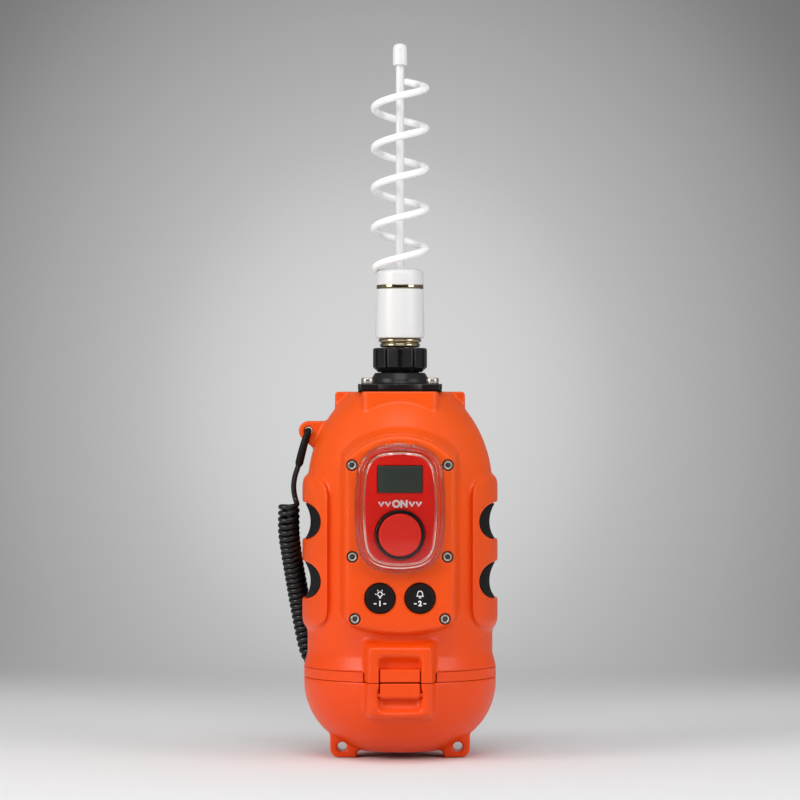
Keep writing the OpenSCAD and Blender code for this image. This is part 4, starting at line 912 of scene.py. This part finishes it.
class BEACON_OT_screws(bpy.types.Operator):
    """Panel screws and deck screws with a six-sided socket"""

    bl_idname = "beacon.screws"
    bl_label = "Screws"

    def execute(self, context):
        face = -lows("panel_screws")[1]
        places = [(side * x / 1000, 0, z / 1000) for side in (-1, 1) for x, z in PANEL_SCREWS]
        heads, wells, r = [], [], 0.00245
        for at in places:
            turn = 7 * at[2] * 1000
            heads.append(self.head("panel_screws", at, face, r, 0.0013, "Y", turn))
            wells.append(self.well("panel_wells", at, face, r, turn))
            # a dark ring under each head, in the shadow finish: painted shade round the rim of its recess
            low, high, inner, outer = face - 0.0011, face - 0.0006, 0.0023, 0.0030
            ring = [(inner, low), (inner, high), (outer, high), (outer, low)]
            wells.append(turned("shade_ring", ring, at, "Y", 64, True))
        place("panel_screw_heads", heads, "housing", "steel", "panel_screws")
        place("panel_wells", wells, "housing", "socket")
        top, p = highs("flange_screws")[2], 0.0176
        deck = [
            self.head("flange_screws", (x, y, 0), top, 0.0035, 0.0033, "Z", 30)
            for x, y in ((-p, -p), (-p, p), (p, -p), (p, p))
        ]
        place("deck_screw_heads", deck, "housing", "steel", "flange_screws")
        return {"FINISHED"}

    def well(self, name, at, top, r, turn):
        """A low six-sided dark plug with a pin in its middle, set at the floor of a socket: painted shade
        inside it.
        """
        rows = [(0.3, 1.2, 0), (0.657, 1.2, 1), (0.657, 0.45, 1), (0.48, 0.60, 1), (0.24, 0.55, 0),
                (0.19, 0.3, 0), (0.01, 0.18, 0)]
        rows = [(r * share, top - deep / 1000, k) for share, deep, k in rows]
        return socketed(name, rows, at, "Y", 36, turn)

    def head(self, name, at, top, r, tall, axis, turn):
        """A round head with a domed edge, on a short shank, and with a hexagon socket."""
        ks = 0.66
        rows = [
            (0.30, tall + 0.006, 0), (0.55, tall + 0.006, 0), (0.57, tall, 0), (0.98, tall, 0),
            (1, tall - 0.00015, 0), (1, 0.0009, 0), (0.97, 0.00045, 0), (0.92, 0.00012, 0),
            (0.86, 0, 0), (0.78, 0, 0), (ks * 1.06, 0.00003, 1), (ks, 0.00015, 1), (ks, 0.0013, 1),
            (ks * 0.5, 0.0013, 1), (0.00002 / r, 0.00135, 1),
        ]
        rows = [(r * share, top - deep, k) for share, deep, k in rows]
        return socketed(name, rows, at, axis, 72, turn)


class BEACON_OT_antenna(bpy.types.Operator):
    """Coupling nut, metal collar, white sleeve with its ring, cap, rod, helix and tip"""

    bl_idname = "beacon.antenna"
    bl_label = "Antenna"

    def execute(self, context):
        count = 192
        inner, rod_r = 0.0085, 0.0023

        def carry(name, prof, finish, node, count=count, hollow=True):
            place(name, turned(name, prof, count=count, hollow=hollow), "antenna", finish, node)

        self.nut()
        # collar with two rolled beads
        _, z0, z1 = upright("antenna_collar")
        h = np.linspace(0, 1, 61)
        bead = 0.0013 * np.sqrt(np.clip(1 - ((h % 0.5) * 4 - 1) ** 2, 0, 1))
        r = 0.0098 + bead + np.where(h > 0.5, 0.0007, 0)
        prof = np.stack([r, z0 + h * (z1 - z0)], 1)
        prof = np.concatenate([[(inner, z0)], prof, [(inner, z1)]])
        carry("collar", prof, "nickel", "antenna_collar")
        # white sleeve, and the ring on it
        (r, z0, z1), r1 = upright("antenna_sleeve"), 0.0130
        prof = rounded(
            [(inner, z0), (r - 0.0001, z0), (r, z0 + 0.0012), (r1, z1 - 0.0004), (r1 - 0.0003, z1),
             (inner, z1)],
            [0, 0.0008, 0.001, 0.0004, 0.0002, 0], 7)
        carry("sleeve", prof, "sleeve", "antenna_sleeve")
        (_, z0, z1), r = upright("sleeve_ring"), 0.01295
        prof = rounded([(inner, z0), (r, z0), (r, z1), (inner, z1)], [0, 0.0003, 0.0003, 0], 5)
        carry("ring", prof, "nickel", "sleeve_ring")
        # cap
        r, z0, z1 = upright("antenna_cap")
        prof = rounded([(inner, z0), (r, z0), (r - 0.0003, z1), (0.0024, z1), (0.0024, z1 - 0.002)],
                       [0, 0.0003, 0.0031, 0.0002, 0], 14)
        carry("cap", np.concatenate([prof, [(inner, z1 - 0.004)]]), "sleeve", "antenna_cap")
        # rod, with the plug that holds it in the cap, and its tip
        (tip_r, top, tip_top), (_, z0, _), r = upright("antenna_tip"), upright("antenna_rod"), 0.0082
        prof = rounded(
            [(AXIS, z0), (r, z0), (r, z1 - 0.003), (rod_r, z1 - 0.003), (rod_r, z1), (rod_r, top),
             (AXIS, top)],
            [0, 0.0002, 0.0002, 0, 0, 0.0002, 0], 5)
        carry("rod", prof, "white", "antenna_rod", 64, False)
        prof = [(AXIS, top), (tip_r, top), (tip_r, tip_top), (AXIS, tip_top)]
        prof = rounded(prof, [0, 0.0005, 0.0036, 0], 12)
        carry("tip", prof, "white", "antenna_tip", 64, False)
        self.helix()
        return {"FINISHED"}

    def helix(self):
        """The helix: (r cos a, r sin a, z0 + pitch a / turn), where r falls off as a square
        over the first quarter turns."""
        a = np.radians(np.arange(-235, 1515.1, 2.5))
        back = np.clip((-125 - np.degrees(a)) / 110, 0, None)
        r = 0.0142 - 0.0028 * back**2
        path = np.stack([r * np.cos(a), r * np.sin(a), 0.2786 + 0.0221 * a / TAU], 1)
        place("helix", tube_mesh("helix", path, 0.002, 20), "antenna", "helix", "antenna_helix")

    def nut(self):
        """The coupling nut: the radius of a profile times cos 15 over cos of the angle from the
        middle of one of twelve flats, less a narrow round groove at each corner."""
        (r, z0, z1), bore, neck, deep = upright("coupling_nut"), 0.0120, 0.0086, 0.006
        prof = rounded([(r - 0.0031, z0), (r, z0 + 0.0026), (r, z1 - 0.0004), (r - 0.0011, z1)],
                       [0, 0.0006, 0.0008, 0], 6)
        hole = [(neck, z1), (neck, z0 + deep), (bore, z0 + deep)]
        prof = np.concatenate([[(bore, z0)], prof, hole])
        sides = 12
        count = sides * 40
        half = math.pi / sides
        a = np.arange(count)[:, None] * TAU / count
        off = np.abs((a + half) % (2 * half) - half)
        flat = 0.9 * (math.cos(half) / np.cos(half - off) - 1)
        groove = -0.11 * np.exp(-((off / 0.048) ** 4))
        r, h = prof.T[:, None]
        r = r * (1 + (flat + groove) * np.clip((r - 0.0122) / 0.0006, 0, 1))
        mesh = tidy_mesh(sheet("nut", on_axis(r, h, a, "Z"), True, True, False))
        sharpen(mesh, 40)
        place("nut", mesh, "nut", "black", "coupling_nut")


def ribbon(name, path, width, y, thick, closed=False):
    """A flat printed line: its section is a rectangle of width by thickness, set square to a
    path in the X-Z plane."""
    p = np.asarray(path, float)
    t = (np.roll(p, -1, 0) - np.roll(p, 1, 0)) if closed else np.gradient(p, axis=0)
    t = unit(t)
    n = np.stack([-t[:, 1], t[:, 0]], 1) * width / 2
    sides = [(n, y), (-n, y), (-n, y - thick), (n, y - thick)]
    pts = [np.stack([p[:, 0] + d[:, 0], np.full(len(p), h), p[:, 1] + d[:, 1]], -1) for d, h in sides]
    return tidy_mesh(sheet(name, np.stack(pts), True, closed, not closed))


class BEACON_OT_marks(bpy.types.Operator):
    """White marks: a word over the big button, and a pictogram with a number on each key"""

    bl_idname = "beacon.marks"
    bl_label = "Marks"

    def execute(self, context):
        t = context.scene.beacon_sizes.print_t
        y = lows("control_fascia")[1]
        parts = [self.word("ON", 0.0052, (0, 0.1398), y, t, 0.00026)]
        for k in (-1, 1):
            for i in range(2):
                x = k * (0.0064 + 0.0036 * i)
                vee = [(x - 0.0013, 0.1411), (x, 0.1388), (x + 0.0013, 0.1411)]
                parts.append(ribbon("chevron", vee, 0.00105, y, t))
        place("panel_marks", parts, "housing", "print", smooth=False)
        for body, sign, digit in (("test", self.lamp, "1"), ("mute", self.bell, "2")):
            x, _, z = middle(body + "_button")
            y = lows(body + "_button")[1] - 0.00001
            low = z - 0.0028
            parts = [self.word(digit, 0.0038, (x, low), y, t, 0.00016)]
            for k in (-1, 1):
                dash = [(x + k * 0.0018, low), (x + k * 0.0033, low)]
                parts.append(ribbon("dash", dash, 0.0006, y, t))
            parts += sign(x, z + 0.0023, y, t)
            place(body + "_marks", parts, body, "print", smooth=False)
        return {"FINISHED"}

    def word(self, text, size, at, y, thick, bold):
        """Plain capitals, made a mesh and stood upright in front of the face."""
        curve = bpy.data.curves.new("word", "FONT")
        curve.body = text
        curve.size = size
        curve.align_x = curve.align_y = "CENTER"
        curve.extrude = thick / 2
        curve.offset = bold
        mesh = baked(linked("word", curve), "word")
        across, up, out = points_of(mesh).T
        co = np.stack([across + at[0], y - thick / 2 - out, up + at[1]], 1)
        mesh.vertices.foreach_set("co", co.ravel())
        return tidy_mesh(mesh)

    def lamp(self, x, z, y, t):
        """A small lamp: a ring, a foot under it and four rays."""
        a = np.arange(32) * TAU / 32
        ring = np.stack([x + 0.0012 * np.cos(a), z + 0.0012 * np.sin(a)], 1)
        parts = [ribbon("ring", ring, 0.00045, y, t, True), self.foot(x, z, y, t)]
        for b in np.radians([0, 60, 120, 180]):
            c, s = math.cos(b), math.sin(b)
            ray = [(x + q * c, z + q * s) for q in (0.0018, 0.0026)]
            parts.append(ribbon("ray", ray, 0.00045, y, t))
        return parts

    def bell(self, x, z, y, t):
        """A small bell over a foot: a side's distance from the middle is a constant, less a
        bulge by the root of its height and less a part by the height's cube."""
        u = np.linspace(0, 1, 13)
        side = np.stack([0.0019 - 0.0012 * u**0.5 * (1 - u) - 0.0013 * u**3, -0.0011 + 0.0027 * u], 1)
        loop = np.concatenate([side, (side * (-1, 1))[::-1]])
        return [ribbon("bell", loop + (x, z), 0.00045, y, t, True), self.foot(x, z, y, t)]

    def foot(self, x, z, y, t):
        """A short dash under the lamp or the bell."""
        return ribbon("foot", [(x - 0.0006, z - 0.0019), (x + 0.0006, z - 0.0019)], 0.0005, y, t)


class BEACON_OT_carried(bpy.types.Operator):
    """Finishes for the CAD pieces that keep their shape"""

    bl_idname = "beacon.carried"
    bl_label = "Carried Pieces"

    def execute(self, context):
        f = finishes()
        rows = {
            "shell": "joint_band cover_hinge cover_pin latch_pin",
            "black": "bulkhead display_module switch_block buzzer battery_tray",
            "brass": "power_contacts antenna_socket battery_contacts antenna_plug",
            "rubber": "panel_seal flange_seal case_seal",
            "steel": "hinge_pin activate_spring",
            "display": "display_window",
            "board": "circuit_board",
            "cell": "battery_cells",
        }
        for finish, nodes in rows.items():
            for node in nodes.split():
                slots = NODES[node].data.materials
                slots.clear()
                slots.append(f[finish])
        return {"FINISHED"}


class BEACON_PT_panel(bpy.types.Panel):
    """Sidebar list of the pieces"""

    bl_label = "Position Beacon"
    bl_space_type = "VIEW_3D"
    bl_region_type = "UI"
    bl_category = "Beacon"

    def draw(self, context):
        col = self.layout.column()
        for op in STEPS:
            col.operator(op.bl_idname)
        for group in (context.scene.beacon_colours, context.scene.beacon_sizes):
            for key in group.__annotations__:
                col.prop(group, key)


STEPS = (
    BEACON_OT_stage,
    BEACON_OT_tether,
    BEACON_OT_shells,
    BEACON_OT_cover,
    BEACON_OT_buttons,
    BEACON_OT_screws,
    BEACON_OT_antenna,
    BEACON_OT_marks,
    BEACON_OT_carried,
)
CLASSES = (BeaconColours, BeaconSizes, *STEPS, BEACON_PT_panel)


def register():
    for c in CLASSES:
        bpy.utils.register_class(c)
    bpy.types.Scene.beacon_colours = PointerProperty(type=BeaconColours)
    bpy.types.Scene.beacon_sizes = PointerProperty(type=BeaconSizes)


def unregister():
    del bpy.types.Scene.beacon_sizes
    del bpy.types.Scene.beacon_colours
    for c in reversed(CLASSES):
        bpy.utils.unregister_class(c)


def main():
    register()
    for step in STEPS:
        if getattr(bpy.ops.beacon, step.bl_idname.split(".")[1])() != {"FINISHED"}:
            raise RuntimeError(step.bl_idname + " did not finish")


if __name__ == "__main__":
    main()
